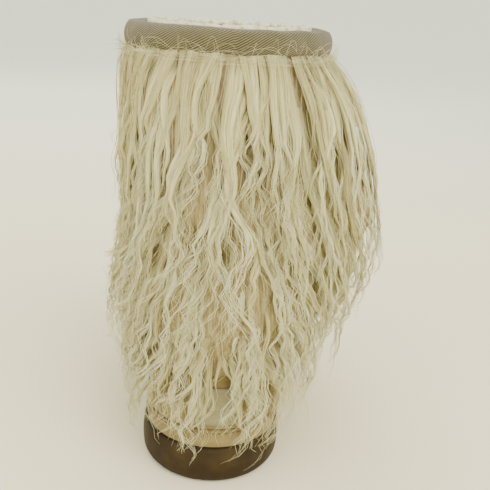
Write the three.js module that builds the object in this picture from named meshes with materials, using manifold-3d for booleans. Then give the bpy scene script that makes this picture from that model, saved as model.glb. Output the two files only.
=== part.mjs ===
// A short pull-on sheepskin boot for the right foot, standing empty on its sole, in millimetres with +Z up.
// Its shaft is covered in long curly fleece that hangs in locks over a suede foot.
// The toe points to -Y and the big toe's side is +X. The origin is on the floor under the middle of the heel.
import * as THREE from "three";
import Module from "manifold-3d";
import { mergeVertices } from "three/addons/utils/BufferGeometryUtils.js";

const wasm = await Module();
wasm.setup();

// Outsole, moulded in one piece
const SOLE_LENGTH = 265;
const BALL_WIDTH = 102;
const HEEL_HEIGHT = 22.5;
const FOREFOOT_HEIGHT = 15;
const TOE_SPRING = 7;
const ARCH_LIFT = 2.5;
const FLANGE = 3;
const SIDE_SWELL = 1;
const TREAD_BEVEL = 3.5;
const HEEL_CENTRE = 40;
const GROOVE_WIDTH = 3;
const GROOVE_DEPTH = 2.4;
const GROOVE_PITCH = 11;
const GROOVE_BORDER = 9;

// Sheepskin upper: its wall is the skin with the shorn wool inside it
const BOOT_HEIGHT = 250;
const SHAFT_WIDTH = 106;
const SHAFT_DEPTH = 103;
const SHAFT_INSET = 12;
const COLLAR_DIP = 3;
const TOE_SWING = 5;
const WALL = 7;
const INSOLE_THICKNESS = 6;

// Suede pieces sewn on over the upper
const SUEDE = 1.4;
const RAND_HEIGHT = 12;
const COUNTER_HEIGHT = 50;
const COUNTER_WIDTH = 104;
const LABEL_HEIGHT = 22;
const LABEL_WIDTH = 30;
const LABEL_RISE = 16;
const LABEL_THICKNESS = 1;

// Folded tape round the collar
const TAPE_DROP = 10;
const TAPE_INSIDE_DROP = 7;
const TAPE_FULLNESS = 3.2;
const TAPE = 1.6;

// Fleece
const FLEECE_DEPTH = 58;
const LOCK_WIDTH = 20;
const LOCK_THICKNESS = 10;
const LOCK_WAVE = 5;
const LOCK_CLEARANCE = 2;

// Clearances between pieces that touch
const GAP = 0.3;
const SEAM_GAP = 0.6;

// How finely the curved pieces are cut into flat faces
const HALF_STEPS = 20;
const RING_STEPS = 2 * HALF_STEPS;
const FLEECE_STEPS = 32;
const SLEEVE_RIDGES = 8;
const LOCK_SIDES = 4;
const LOCK_STEPS = 5;
const LOCK_STEP = 1 / LOCK_STEPS;
const SMALLEST_FACET = 0.8;

// The outsole's side, by share of its length from the heel: arch and spring lift its tread,
// and high is how far its top is from forefoot height to heel height.
const SOLE_PROFILE = [
  { at: 0, arch: 0, spring: 0, high: 1 },
  { at: 0.3, arch: 0, spring: 0, high: 1 },
  { at: 0.43, arch: 1, spring: 0, high: 0.62 },
  { at: 0.56, arch: 0, spring: 0, high: 0.14 },
  { at: 0.74, arch: 0, spring: 0, high: 0 },
  { at: 0.88, arch: 0, spring: 0.3, high: 0 },
  { at: 1, arch: 0, spring: 1, high: 0 },
];

// The path of the upper's rings, by share of the height up its back. inset is the share of SHAFT_INSET that
// the back leans in, front the share of the way from the shaft's front out to the toe, and rise the share of
// the height up its front.
const RING_PATH = [
  { at: 0, inset: 0, front: 1, rise: 0 },
  { at: 0.05, inset: -0.08, front: 1.01, rise: 0.053 },
  { at: 0.105, inset: -0.08, front: 0.985, rise: 0.115 },
  { at: 0.16, inset: 0, front: 0.925, rise: 0.17 },
  { at: 0.225, inset: 0.17, front: 0.79, rise: 0.212 },
  { at: 0.3, inset: 0.42, front: 0.611, rise: 0.246 },
  { at: 0.39, inset: 0.67, front: 0.424, rise: 0.292 },
  { at: 0.47, inset: 0.83, front: 0.257, rise: 0.353 },
  { at: 0.55, inset: 0.92, front: 0.125, rise: 0.434 },
  { at: 0.635, inset: 0.96, front: 0.049, rise: 0.533 },
  { at: 0.74, inset: 1, front: 0.014, rise: 0.672 },
  { at: 0.87, inset: 1, front: 0, rise: 0.843 },
  { at: 1, inset: 1, front: 0, rise: 1 },
];

// The width of each ring. heel to toe are half widths, as shares of the ball's on the foot and of the shaft's
// on the leg, and backCap and frontCap are the shares of the ring's length that its round ends take.
const RING_WIDTHS = [
  { at: 0, heel: 0.77, waist: 0.76, ball: 1, toe: 0.93, backCap: 0.15, frontCap: 0.21 },
  { at: 0.05, heel: 0.79, waist: 0.78, ball: 1.02, toe: 0.95, backCap: 0.15, frontCap: 0.21 },
  { at: 0.105, heel: 0.78, waist: 0.78, ball: 0.99, toe: 0.9, backCap: 0.15, frontCap: 0.22 },
  { at: 0.16, heel: 0.75, waist: 0.77, ball: 0.91, toe: 0.82, backCap: 0.16, frontCap: 0.25 },
  { at: 0.225, heel: 0.72, waist: 0.75, ball: 0.82, toe: 0.74, backCap: 0.18, frontCap: 0.31 },
  { at: 0.3, heel: 0.71, waist: 0.74, ball: 0.76, toe: 0.71, backCap: 0.22, frontCap: 0.37 },
  { at: 0.39, heel: 0.745, waist: 0.765, ball: 0.76, toe: 0.72, backCap: 0.28, frontCap: 0.42 },
  { at: 0.47, heel: 0.79, waist: 0.81, ball: 0.795, toe: 0.775, backCap: 0.36, frontCap: 0.46 },
  { at: 0.55, heel: 0.84, waist: 0.85, ball: 0.84, toe: 0.82, backCap: 0.45, frontCap: 0.5 },
  { at: 0.635, heel: 0.89, waist: 0.89, ball: 0.89, toe: 0.89, backCap: 0.5, frontCap: 0.5 },
  { at: 0.74, heel: 0.945, waist: 0.945, ball: 0.945, toe: 0.945, backCap: 0.5, frontCap: 0.5 },
  { at: 0.87, heel: 0.98, waist: 0.98, ball: 0.98, toe: 0.98, backCap: 0.5, frontCap: 0.5 },
  { at: 1, heel: 1, waist: 1, ball: 1, toe: 1, backCap: 0.5, frontCap: 0.5 },
];

// Where along a ring its four half widths are, and how its middle line swings, as a share of TOE_SWING.
const WIDTH_PLACES = { heel: 0.14, waist: 0.42, ball: 0.69, toe: 0.9 };
const SWING = [
  { at: 0, swing: 0 },
  { at: 0.42, swing: -0.3 },
  { at: 0.7, swing: -0.6 },
  { at: 1, swing: 1 },
];

// How far the fleece stands off the upper on each side, as shares of FLEECE_DEPTH, up the height of the back.
const FLEECE_STAND = [
  { at: -0.06, back: 0.13, inner: 0.18, front: 0.16, outer: 0.16 },
  { at: 0, back: 0.17, inner: 0.26, front: 0.16, outer: 0.22 },
  { at: 0.1, back: 0.25, inner: 0.4, front: 0.16, outer: 0.38 },
  { at: 0.2, back: 0.35, inner: 0.5, front: 0.19, outer: 0.66 },
  { at: 0.3, back: 0.42, inner: 0.52, front: 0.29, outer: 0.9 },
  { at: 0.4, back: 0.46, inner: 0.44, front: 0.42, outer: 1 },
  { at: 0.5, back: 0.47, inner: 0.32, front: 0.5, outer: 0.97 },
  { at: 0.6, back: 0.45, inner: 0.22, front: 0.48, outer: 0.83 },
  { at: 0.7, back: 0.39, inner: 0.17, front: 0.4, outer: 0.66 },
  { at: 0.8, back: 0.31, inner: 0.14, front: 0.31, outer: 0.48 },
  { at: 0.88, back: 0.22, inner: 0.12, front: 0.2, outer: 0.33 },
  { at: 0.95, back: 0.1, inner: 0.08, front: 0.1, outer: 0.14 },
];

// Where the fleece's thick sleeve ends, and where the lowest locks' tips hang to, as heights up the back.
const FLEECE_HEM = { back: 0.14, inner: 0.18, front: 0.34, outer: 0.28 };
const TIP_HEM = { back: -0.045, inner: 0, front: 0.24, outer: 0.11 };

// The sleeve's section down from the tape: its outer face's share of the fleece's stand, and how free its
// inner face hangs of the suede below the ankle, where it is no longer sewn down.
const SLEEVE = [
  { at: 0, full: 0.75, free: 0 },
  { at: 0.1, full: 0.74, free: 0 },
  { at: 0.24, full: 0.72, free: 0 },
  { at: 0.42, full: 0.72, free: 0 },
  { at: 0.6, full: 0.72, free: 0 },
  { at: 0.78, full: 0.68, free: 0.7 },
  { at: 0.92, full: 0.52, free: 0.9 },
  { at: 1, full: 0.3, free: 1 },
];

// Rows of locks: root and tip heights as shares between the tape and TIP_HEM, and how many go round.
const LOCK_ROWS = [
  { root: 0.02, tip: 0.52, count: 12 },
  { root: 0.26, tip: 0.8, count: 15 },
  { root: 0.5, tip: 1, count: 19 },
];

// One lock from its root inside the sleeve to its tip: how far out it lies, as a share of the fleece's stand,
// and how thick it is, as a share of its full width.
const LOCK = [
  { at: 0, lie: 0.5, girth: 0.3 },
  { at: 0.16, lie: 0.74, girth: 0.85 },
  { at: 0.45, lie: 0.86, girth: 1 },
  { at: 0.75, lie: 0.86, girth: 0.72 },
  { at: 1, lie: 0.8, girth: 0.12 },
];

// The value of one column of a table at a place between its rows: a smooth curve that never overshoots them.
function along(table, column, at) {
  const last = table.length - 1;
  if (at <= table[0].at) return table[0][column];
  if (at >= table[last].at) return table[last][column];
  const i = table.findIndex((row) => row.at > at) - 1;
  const slope = (k) => (table[k + 1][column] - table[k][column]) / (table[k + 1].at - table[k].at);
  const tangent = (k) => {
    if (k === 0) return slope(0);
    if (k === last) return slope(last - 1);
    const before = slope(k - 1);
    const after = slope(k);
    return before * after <= 0 ? 0 : (2 * before * after) / (before + after);
  };
  const span = table[i + 1].at - table[i].at;
  const s = (at - table[i].at) / span;
  const rest = 1 - s;
  return (
    table[i][column] * (1 + 2 * s) * rest * rest +
    table[i + 1][column] * (3 - 2 * s) * s * s +
    span * (tangent(i) * s * rest * rest - tangent(i + 1) * s * s * rest)
  );
}

const mix = (from, to, share) => from + (to - from) * share;

// Heights of the outsole's tread and top at a place along the boot.
const soleShare = (y) => (HEEL_CENTRE - y) / SOLE_LENGTH;
const springAt = (y) => TOE_SPRING * along(SOLE_PROFILE, "spring", soleShare(y));
const treadAt = (y) => ARCH_LIFT * along(SOLE_PROFILE, "arch", soleShare(y)) + springAt(y);
const soleTopAt = (y) =>
  mix(FOREFOOT_HEIGHT, HEEL_HEIGHT, along(SOLE_PROFILE, "high", soleShare(y))) + springAt(y);

// The upper's driving places, worked out from the named sizes.
const UPPER_LENGTH = SOLE_LENGTH - 2 * FLANGE;
const UPPER_BACK = HEEL_CENTRE - FLANGE;
const BALL_HALF = BALL_WIDTH / 2 - FLANGE;
const SHAFT_HALF = SHAFT_WIDTH / 2;
const SHAFT_FRONT = SHAFT_INSET + SHAFT_DEPTH;
const FEATHER_BACK = soleTopAt(UPPER_BACK) + GAP;
const FEATHER_FRONT = soleTopAt(UPPER_BACK - UPPER_LENGTH) + GAP;
const RIM = BOOT_HEIGHT - GAP - TAPE;
const LEG = RIM - FEATHER_BACK;
const FRONT_LEG = RIM - COLLAR_DIP - FEATHER_FRONT;

// One ring of the upper at a height up its back. Past the top and the bottom it goes on straight.
function ring(height) {
  const front = along(RING_PATH, "front", height);
  const half = mix(SHAFT_HALF, BALL_HALF, Math.min(front, 1));
  const widths = Object.entries(WIDTH_PLACES).map(([name, at]) => ({
    at,
    half: half * along(RING_WIDTHS, name, height),
  }));
  const back = SHAFT_INSET * along(RING_PATH, "inset", height);
  const rise = height > 0 && height < 1 ? along(RING_PATH, "rise", height) : height;
  return {
    widths,
    back,
    length: SHAFT_FRONT + front * (UPPER_LENGTH - SHAFT_FRONT) - back,
    backZ: FEATHER_BACK + height * LEG,
    frontZ: FEATHER_FRONT + rise * FRONT_LEG,
    swing: TOE_SWING * front,
    backCap: along(RING_WIDTHS, "backCap", height),
    frontCap: along(RING_WIDTHS, "frontCap", height),
    sag: Math.max(0, 1 - Math.max(height, 0) / 0.3) ** 2,
  };
}

// A round end: the half width's share at a place that is some share of the way through the end.
const cap = (share) => (share >= 1 ? 1 : Math.sqrt(Math.max(0, 1 - (1 - share) ** 2)));

const halfWidth = (r, t) => along(r.widths, "half", t) * cap(t / r.backCap) * cap((1 - t) / r.frontCap);

// Shares along a ring's length that part its outline into even steps, from the back to the front.
const ROUND_SAMPLES = 90;
const roundTables = new Map();
function ringAt(height) {
  const key = Math.round(height * 1e5);
  if (roundTables.has(key)) return roundTables.get(key);
  const r = ring(height);
  const places = [{ at: 0, t: 0 }];
  let far = 0;
  for (let i = 1; i <= ROUND_SAMPLES; i++) {
    const t = (1 - Math.cos((Math.PI * i) / ROUND_SAMPLES)) / 2;
    const before = places[i - 1].t;
    far += Math.hypot((t - before) * r.length, halfWidth(r, t) - halfWidth(r, before));
    places.push({ at: far, t });
  }
  r.shareAt = (step) => {
    const want = step * far;
    const i = Math.min(places.findIndex((p) => p.at >= want - 1e-9), ROUND_SAMPLES);
    if (i <= 0) return 0;
    const from = places[i - 1];
    return mix(from.t, places[i].t, (want - from.at) / (places[i].at - from.at));
  };
  roundTables.set(key, r);
  return r;
}

// A point of the upper's outer face. round goes from 0 at the back over the inner side to 0.5 at the toe.
function facePoint(round, height) {
  const turn = round - Math.floor(round);
  const side = turn < 0.5 ? 1 : -1;
  const r = ringAt(height);
  const t = r.shareAt(turn < 0.5 ? 2 * turn : 2 * (1 - turn));
  const y = UPPER_BACK - r.back - t * r.length;
  const straight = mix(soleTopAt(UPPER_BACK), soleTopAt(UPPER_BACK - UPPER_LENGTH), t);
  const sag = r.sag * (soleTopAt(y) - straight);
  const x = side * halfWidth(r, t) + r.swing * along(SWING, "swing", t);
  return new THREE.Vector3(x, y, mix(r.backZ, r.frontZ, t) + sag);
}

// The outward direction of the upper's face, from its neighbours round and up.
function faceNormal(round, height) {
  const step = 0.004;
  const up = facePoint(round, height + step).sub(facePoint(round, height - step));
  const onward = facePoint(round + step, height).sub(facePoint(round - step, height));
  return up.cross(onward).normalize();
}

// A point that stands off the upper's outer face, inwards where stand is negative.
const standOff = (round, height, stand) =>
  facePoint(round, height).addScaledVector(faceNormal(round, height), stand);

// One closed ring of points round the boot, at a height and a distance that may change on the way.
function ringOf(steps, heightAt, standAt) {
  return Array.from({ length: steps }, (_, i) => {
    const round = i / steps;
    return standOff(round, heightAt(round), standAt(round));
  });
}

// A closed surface through rings of equally many points. With no pairs it closes on itself like a tube bent
// into a hoop. With pairs, its two ends are closed by strips between the paired points.
function loft(rings, pairs) {
  const count = rings[0].length;
  const position = rings.flat().flatMap((p) => [p.x, p.y, p.z]);
  const index = [];
  const id = (i, j) => (i % rings.length) * count + (j % count);
  const face = (...corners) => {
    if (new Set(corners).size === 3) index.push(...corners);
  };
  for (let i = 0; i < (pairs ? rings.length - 1 : rings.length); i++) {
    for (let j = 0; j < count; j++) {
      face(id(i, j), id(i + 1, j), id(i + 1, j + 1));
      face(id(i, j), id(i + 1, j + 1), id(i, j + 1));
    }
  }
  for (let k = 0; pairs && k < pairs.length - 1; k++) {
    const [a, d] = pairs[k];
    const [b, c] = pairs[k + 1];
    const end = rings.length - 1;
    face(id(0, a), id(0, b), id(0, c));
    face(id(0, a), id(0, c), id(0, d));
    face(id(end, a), id(end, c), id(end, b));
    face(id(end, a), id(end, d), id(end, c));
  }
  const geometry = new THREE.BufferGeometry();
  geometry.setAttribute("position", new THREE.Float32BufferAttribute(position, 3));
  geometry.setIndex(index);
  return geometry;
}

// Pairs of points that face each other across a ring whose first point lies on its middle line.
const acrossRing = (count) =>
  Array.from({ length: Math.floor(count / 2) + 1 }, (_, k) => [k, (count - k) % count]);

// Pairs of points that face each other across a thin strip's section.
const acrossStrip = (count) => Array.from({ length: count / 2 }, (_, k) => [k, count - 1 - k]);

function toSolid(geometry) {
  const bare = geometry.clone();
  bare.deleteAttribute("normal");
  bare.deleteAttribute("uv");
  const merged = mergeVertices(bare, 1e-4);
  return new wasm.Manifold(
    new wasm.Mesh({
      numProp: 3,
      vertProperties: merged.attributes.position.array,
      triVerts: new Uint32Array(merged.index.array),
    }),
  );
}

function toGeometry(solid) {
  const mesh = solid.getMesh();
  const geometry = new THREE.BufferGeometry();
  geometry.setAttribute("position", new THREE.BufferAttribute(mesh.vertProperties, 3));
  geometry.setIndex(new THREE.BufferAttribute(mesh.triVerts, 1));
  return geometry;
}

// The outline of the outsole at one level: the upper's lowest ring, standing off it, between tread and top.
function soleLevel(level, stand) {
  return ringOf(RING_STEPS, () => 0, () => stand).map((p) => {
    p.z = mix(treadAt(p.y), soleTopAt(p.y), level);
    return p;
  });
}

function outsole() {
  const block = loft(
    [
      soleLevel(0, FLANGE - TREAD_BEVEL),
      soleLevel(0.1, FLANGE - 0.6),
      soleLevel(0.25, FLANGE + 0.6 * SIDE_SWELL),
      soleLevel(0.55, FLANGE + SIDE_SWELL),
      soleLevel(0.93, FLANGE + 0.3 * SIDE_SWELL),
      soleLevel(1, FLANGE - 0.8),
    ],
    acrossRing(RING_STEPS),
  );
  return toGeometry(treadGrooves().reduce((body, groove) => body.subtract(groove), toSolid(block)));
}

// Grooves across the tread, under the heel and the forefoot, that stop short of the outsole's side.
function treadGrooves() {
  const grooves = [];
  const first = HEEL_CENTRE - GROOVE_PITCH * 1.5;
  for (let y = first; y > HEEL_CENTRE - SOLE_LENGTH + 2 * GROOVE_PITCH; y -= GROOVE_PITCH) {
    const share = soleShare(y);
    if (share > 0.3 && share < 0.54) continue;
    const r = ringAt(0);
    const t = (UPPER_BACK - y) / UPPER_LENGTH;
    const width = 2 * (halfWidth(r, t) - GROOVE_BORDER);
    const bar = new THREE.BoxGeometry(width, GROOVE_WIDTH, 2 * GROOVE_DEPTH);
    bar.rotateX(Math.atan((treadAt(y - 1) - treadAt(y + 1)) / -2));
    bar.translate(r.swing * along(SWING, "swing", t), y, treadAt(y));
    grooves.push(toSolid(bar));
  }
  return grooves;
}

// Heights up the back at which the upper is drawn, closer together where it curves more.
const UPPER_LEVELS = [
  0, 0.03, 0.065, 0.1, 0.135, 0.17, 0.21, 0.255, 0.305, 0.36, 0.42, 0.48, 0.54, 0.61, 0.7, 0.84, 1,
];

function upper() {
  const face = (stand) => UPPER_LEVELS.map((h) => ringOf(RING_STEPS, () => h, () => stand));
  return loft([...face(0), ...face(-WALL).reverse()]);
}

function insole() {
  const level = (lift, inset) =>
    ringOf(RING_STEPS, () => 0, () => -WALL - inset).map((p) => p.setZ(soleTopAt(p.y) + GAP + lift));
  return loft(
    [level(0, 2 * SEAM_GAP), level(INSOLE_THICKNESS - 2, SEAM_GAP), level(INSOLE_THICKNESS, 3 * SEAM_GAP)],
    acrossRing(RING_STEPS),
  );
}

// A copy of the upper's outer form, grown by a clearance, that cuts what lies on it to fit.
function upperForm(clearance) {
  const rings = UPPER_LEVELS.map((h) => ringOf(RING_STEPS, () => h, () => clearance));
  return toSolid(loft(rings, acrossRing(RING_STEPS)));
}

// A suede band round the foot, just above the outsole, a little proud of the upper.
function rand() {
  const top = RAND_HEIGHT / LEG;
  const edge = (height, stand) => ringOf(RING_STEPS, () => height, () => stand);
  const band = loft([
    edge(GAP / LEG, GAP + SUEDE),
    edge(top, GAP + SUEDE),
    edge(top, -SUEDE),
    edge(GAP / LEG, -SUEDE),
  ]);
  return toGeometry(toSolid(band).subtract(upperForm(GAP)));
}

// How long the upper's outline is at heel height, so that widths along it can be given in millimetres.
const FOOT_GIRTH = ringOf(RING_STEPS, () => RAND_HEIGHT / LEG, () => 0).reduce(
  (sum, p, i, points) => sum + p.distanceTo(points[(i + 1) % points.length]),
  0,
);

// A thin slab that follows the upper round the middle of the heel, between two heights that may curve.
function heelSlab({ width, lowAt, highAt, outer, across, up }) {
  const section = (i) => {
    const share = i / across - 0.5;
    const round = (share * width) / FOOT_GIRTH;
    const height = (j) => mix(lowAt(2 * share), highAt(2 * share), j / up);
    const outerFace = Array.from({ length: up + 1 }, (_, j) => standOff(round, height(j), outer));
    const innerFace = Array.from({ length: up + 1 }, (_, j) => standOff(round, height(up - j), -SUEDE));
    return [...outerFace, ...innerFace];
  };
  const sections = Array.from({ length: across + 1 }, (_, i) => section(across - i));
  return toSolid(loft(sections, acrossStrip(2 * (up + 1))));
}

const COUNTER_LOW = (RAND_HEIGHT + SEAM_GAP) / LEG;
const counterSlab = (grown) =>
  heelSlab({
    width: COUNTER_WIDTH + 2 * grown,
    lowAt: () => COUNTER_LOW - grown / LEG,
    highAt: (share) =>
      COUNTER_LOW + grown / LEG + (COUNTER_HEIGHT / LEG) * (1 - 0.62 * share ** 4 - 0.2 * share ** 2),
    outer: GAP + SUEDE + grown,
    across: 12,
    up: 4,
  });

const heelCounter = () => toGeometry(counterSlab(0).subtract(upperForm(GAP)));

function heelLabel() {
  const slab = heelSlab({
    width: LABEL_WIDTH,
    lowAt: () => LABEL_RISE / LEG,
    highAt: () => (LABEL_RISE + LABEL_HEIGHT) / LEG,
    outer: 2 * GAP + SUEDE + LABEL_THICKNESS,
    across: 4,
    up: 2,
  });
  return toGeometry(slab.subtract(upperForm(SEAM_GAP)).subtract(counterSlab(GAP)));
}

// The collar tape's section, as distance off the upper's face and height above its rim, from its outer lower
// edge up over the rim and down inside.
function tapeSection() {
  const out = GAP;
  const within = -WALL - GAP;
  return [
    [out + 0.4 * TAPE, -TAPE_DROP],
    [out + 0.85 * TAPE_FULLNESS, -TAPE_DROP + 1.5],
    [out + TAPE_FULLNESS, -0.55 * TAPE_DROP],
    [out + 0.85 * TAPE_FULLNESS, -0.2 * TAPE_DROP],
    [out + 0.3 * TAPE_FULLNESS, GAP + 0.55 * TAPE],
    [-WALL / 2, GAP + TAPE],
    [within - 0.5 * TAPE, GAP + 0.4 * TAPE],
    [within - TAPE, -0.5 * TAPE_INSIDE_DROP],
    [within, -TAPE_INSIDE_DROP],
    [within, GAP],
    [out, GAP],
    [out, -TAPE_DROP],
  ];
}

const collarTape = () =>
  loft(tapeSection().map(([stand, lift]) => ringOf(RING_STEPS, () => 1 + lift / LEG, () => stand)));

// How much of each side a place round the boot belongs to: back, inner side, front and outer side.
function sideShares(round) {
  const turn = (round - Math.floor(round)) * 4;
  const from = Math.floor(turn) % 4;
  const s = turn - Math.floor(turn);
  const ease = s * s * (3 - 2 * s);
  const shares = [0, 0, 0, 0];
  shares[from] = 1 - ease;
  shares[(from + 1) % 4] = ease;
  return shares;
}

const bySide = (round, { back, inner, front, outer }) => {
  const [b, i, f, o] = sideShares(round);
  return b * back + i * inner + f * front + o * outer;
};

function fleeceStand(round, height) {
  const sides = {};
  for (const side of ["back", "inner", "front", "outer"]) sides[side] = along(FLEECE_STAND, side, height);
  return FLEECE_DEPTH * bySide(round, sides);
}

// A fixed scatter: the same fraction between 0 and 1 for the same number, with no pattern that shows.
function scatter(seed) {
  const wild = Math.sin(seed * 127.1 + 31.7) * 43758.5453;
  return wild - Math.floor(wild);
}

const FLEECE_TOP = 1 - (TAPE_DROP + SEAM_GAP) / LEG;
const CLEAR_OF_SUEDE = SMALLEST_FACET + SEAM_GAP + 2 * GAP + SUEDE + LABEL_THICKNESS;

// The thick sleeve of fleece: sewn on from the tape down to the ankle, and hanging free over the foot.
function fleeceSleeve() {
  const heightAt = (row) => (round) => mix(FLEECE_TOP, bySide(round, FLEECE_HEM), row.at);
  const within = (row) => mix(-SUEDE, CLEAR_OF_SUEDE + LOCK_CLEARANCE / 2, row.free);
  const outer = (row) => (round) => {
    const wave = Math.sin(2 * Math.PI * (SLEEVE_RIDGES * round + 0.35 * Math.sin(7 * row.at + 5 * round)));
    const ridge = 1 + 0.12 * wave * Math.min(1, 3 * row.at);
    const lie = row.full * ridge * fleeceStand(round, heightAt(row)(round));
    return Math.max(within(row) + SEAM_GAP + SUEDE, lie);
  };
  const up = SLEEVE.slice().reverse();
  return loft([
    ...up.map((row) => ringOf(FLEECE_STEPS, heightAt(row), outer(row))),
    ...SLEEVE.map((row) => ringOf(FLEECE_STEPS, heightAt(row), () => within(row))),
  ]);
}

// One lock: a flattened, waving, tapering tuft that grows out of the sleeve and hangs to its tip.
function fleeceLock(round, rootShare, tipShare, seed) {
  const phase = 2 * Math.PI * scatter(seed);
  const drift = 14 * (scatter(seed + 0.3) - 0.5);
  const fullness = 0.92 + 0.16 * scatter(seed + 0.7);
  const size = 0.8 + 0.4 * scatter(seed + 0.5);
  const girth = (s) => size * along(LOCK, "girth", s);
  const heightOf = (s) => mix(FLEECE_TOP, bySide(round, TIP_HEM), mix(rootShare, tipShare, s));
  const place = (s) => {
    const height = heightOf(s);
    const aside = LOCK_WAVE * Math.sin(phase + 7 * s) * (0.3 + s) + drift * s;
    const lie = fleeceStand(round, height) * along(LOCK, "lie", s) * fullness;
    const clear = CLEAR_OF_SUEDE + (girth(s) * LOCK_THICKNESS) / 2 + LOCK_CLEARANCE;
    return standOff(round + aside / FOOT_GIRTH, height, Math.max(lie, clear));
  };
  const section = (s) => {
    const centre = place(s);
    const onward = place(s + LOCK_STEP / 3).sub(place(s - LOCK_STEP / 3)).normalize();
    const across = onward.clone().cross(faceNormal(round, heightOf(s))).normalize();
    const out = across.clone().cross(onward);
    return Array.from({ length: LOCK_SIDES }, (_, j) => {
      const angle = (2 * Math.PI * j) / LOCK_SIDES;
      return centre
        .clone()
        .addScaledVector(across, (girth(s) * LOCK_WIDTH * Math.cos(angle)) / 2)
        .addScaledVector(out, (girth(s) * LOCK_THICKNESS * Math.sin(angle)) / 2);
    });
  };
  const rings = Array.from({ length: LOCK_STEPS + 1 }, (_, i) => section(i * LOCK_STEP));
  return loft(rings, acrossRing(LOCK_SIDES));
}

// The outer body of a joined solid: the air pockets that its parts shut in between them are filled.
function withoutPockets(solid) {
  return solid.decompose().reduce((most, body) => (body.volume() > most.volume() ? body : most));
}

function fleece() {
  let solid = toSolid(fleeceSleeve());
  LOCK_ROWS.forEach(({ root, tip, count }, row) => {
    for (let i = 0; i < count; i++) {
      const seed = 40 * row + i;
      const round = (i + 0.5 * row + 0.5 * (scatter(seed + 0.1) - 0.5)) / count;
      const tipHere = tip - 0.1 * scatter(seed + 0.9);
      solid = solid.add(toSolid(fleeceLock(round, root, tipHere, seed)));
    }
  });
  return toGeometry(withoutPockets(solid.simplify(SMALLEST_FACET).subtract(upperForm(GAP))));
}

// Finishes
const suede = new THREE.MeshStandardMaterial({ color: 0xb7a27c, roughness: 0.95, metalness: 0 });
const paleWool = new THREE.MeshStandardMaterial({ color: 0xe9dcc0, roughness: 1, metalness: 0 });
const foam = new THREE.MeshStandardMaterial({ color: 0x5b4632, roughness: 0.8, metalness: 0 });
const khakiTape = new THREE.MeshStandardMaterial({ color: 0x8f8663, roughness: 0.9, metalness: 0 });
const longFleece = new THREE.MeshStandardMaterial({ color: 0xd2c6a2, roughness: 0.8, metalness: 0 });
const labelSuede = new THREE.MeshStandardMaterial({ color: 0xa8a286, roughness: 0.9, metalness: 0 });

function piece(name, geometry, material) {
  geometry.computeVertexNormals();
  const mesh = new THREE.Mesh(geometry, material);
  mesh.name = name;
  return mesh;
}

const boot = new THREE.Group();
boot.add(
  piece("outsole", outsole(), foam),
  piece("insole", insole(), paleWool),
  piece("upper", upper(), suede),
  piece("rand", rand(), suede),
  piece("heel_counter", heelCounter(), suede),
  piece("heel_label", heelLabel(), labelSuede),
  piece("collar_tape", collarTape(), khakiTape),
  piece("fleece", fleece(), longFleece),
);

export default boot;
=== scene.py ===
import math

import bpy
import numpy as np
from mathutils import Matrix, Vector


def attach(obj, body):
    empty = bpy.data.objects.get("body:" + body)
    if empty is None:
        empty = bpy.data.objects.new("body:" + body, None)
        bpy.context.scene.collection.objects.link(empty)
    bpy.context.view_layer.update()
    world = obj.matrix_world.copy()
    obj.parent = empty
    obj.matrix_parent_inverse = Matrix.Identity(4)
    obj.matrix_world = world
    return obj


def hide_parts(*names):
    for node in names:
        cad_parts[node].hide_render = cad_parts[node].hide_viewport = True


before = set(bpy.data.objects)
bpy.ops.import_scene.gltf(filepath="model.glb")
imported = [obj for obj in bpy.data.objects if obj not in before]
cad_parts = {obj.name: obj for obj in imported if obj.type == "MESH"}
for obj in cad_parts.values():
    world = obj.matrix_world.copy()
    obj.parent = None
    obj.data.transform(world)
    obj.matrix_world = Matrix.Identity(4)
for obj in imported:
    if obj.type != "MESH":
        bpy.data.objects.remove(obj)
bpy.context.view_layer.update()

MM = 0.001
BODY = "root"

# Sizes of the boot, in millimetres, as in its solids
SOLE_LENGTH = 265
BALL_WIDTH = 102
HEEL_HEIGHT = 22.5
FOREFOOT_HEIGHT = 15
TOE_SPRING = 7
ARCH_LIFT = 2.5
FLANGE = 3
SIDE_SWELL = 1
TREAD_BEVEL = 3.5
HEEL_CENTRE = 40
GROOVE_WIDTH = 3
GROOVE_DEPTH = 2.4
GROOVE_PITCH = 11
GROOVE_BORDER = 9
HEEL_GROOVES_END = 0.3
BALL_GROOVES_START = 0.54
BALL_GROOVES_END = 0.93
BOOT_HEIGHT = 250
SHAFT_WIDTH = 106
SHAFT_DEPTH = 103
SHAFT_INSET = 12
COLLAR_DIP = 3
TOE_SWING = 5
WALL = 7
UNDERWOOL_TUCK = 1
LEATHER = 1.6
SUEDE = 1.4
RAND_HEIGHT = 12
COUNTER_HEIGHT = 50
COUNTER_WIDTH = 104
LABEL_HEIGHT = 22
LABEL_WIDTH = 30
LABEL_RISE = 16
LABEL_THICKNESS = 1
LABEL_CORNER = 2.5
LABEL_BORDER = 2.2
TAPE_DROP = 10
TAPE_INSIDE_DROP = 7
TAPE_FULLNESS = 3.2
TAPE = 1.6
FLEECE_DEPTH = 58
RAND_SEAM = 0.84
STITCH_PITCH = 3.6
COUNTER_SEAM_INSET = 2.6
GAP = 0.3
SEAM_GAP = 0.6

# The outsole's side, by share of its length from the heel
SOLE_PROFILE = {
    "at": [0, 0.3, 0.43, 0.56, 0.74, 0.88, 1],
    "arch": [0, 0, 1, 0, 0, 0, 0],
    "spring": [0, 0, 0, 0, 0, 0.3, 1],
    "high": [1, 1, 0.62, 0.14, 0, 0, 0],
}
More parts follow.
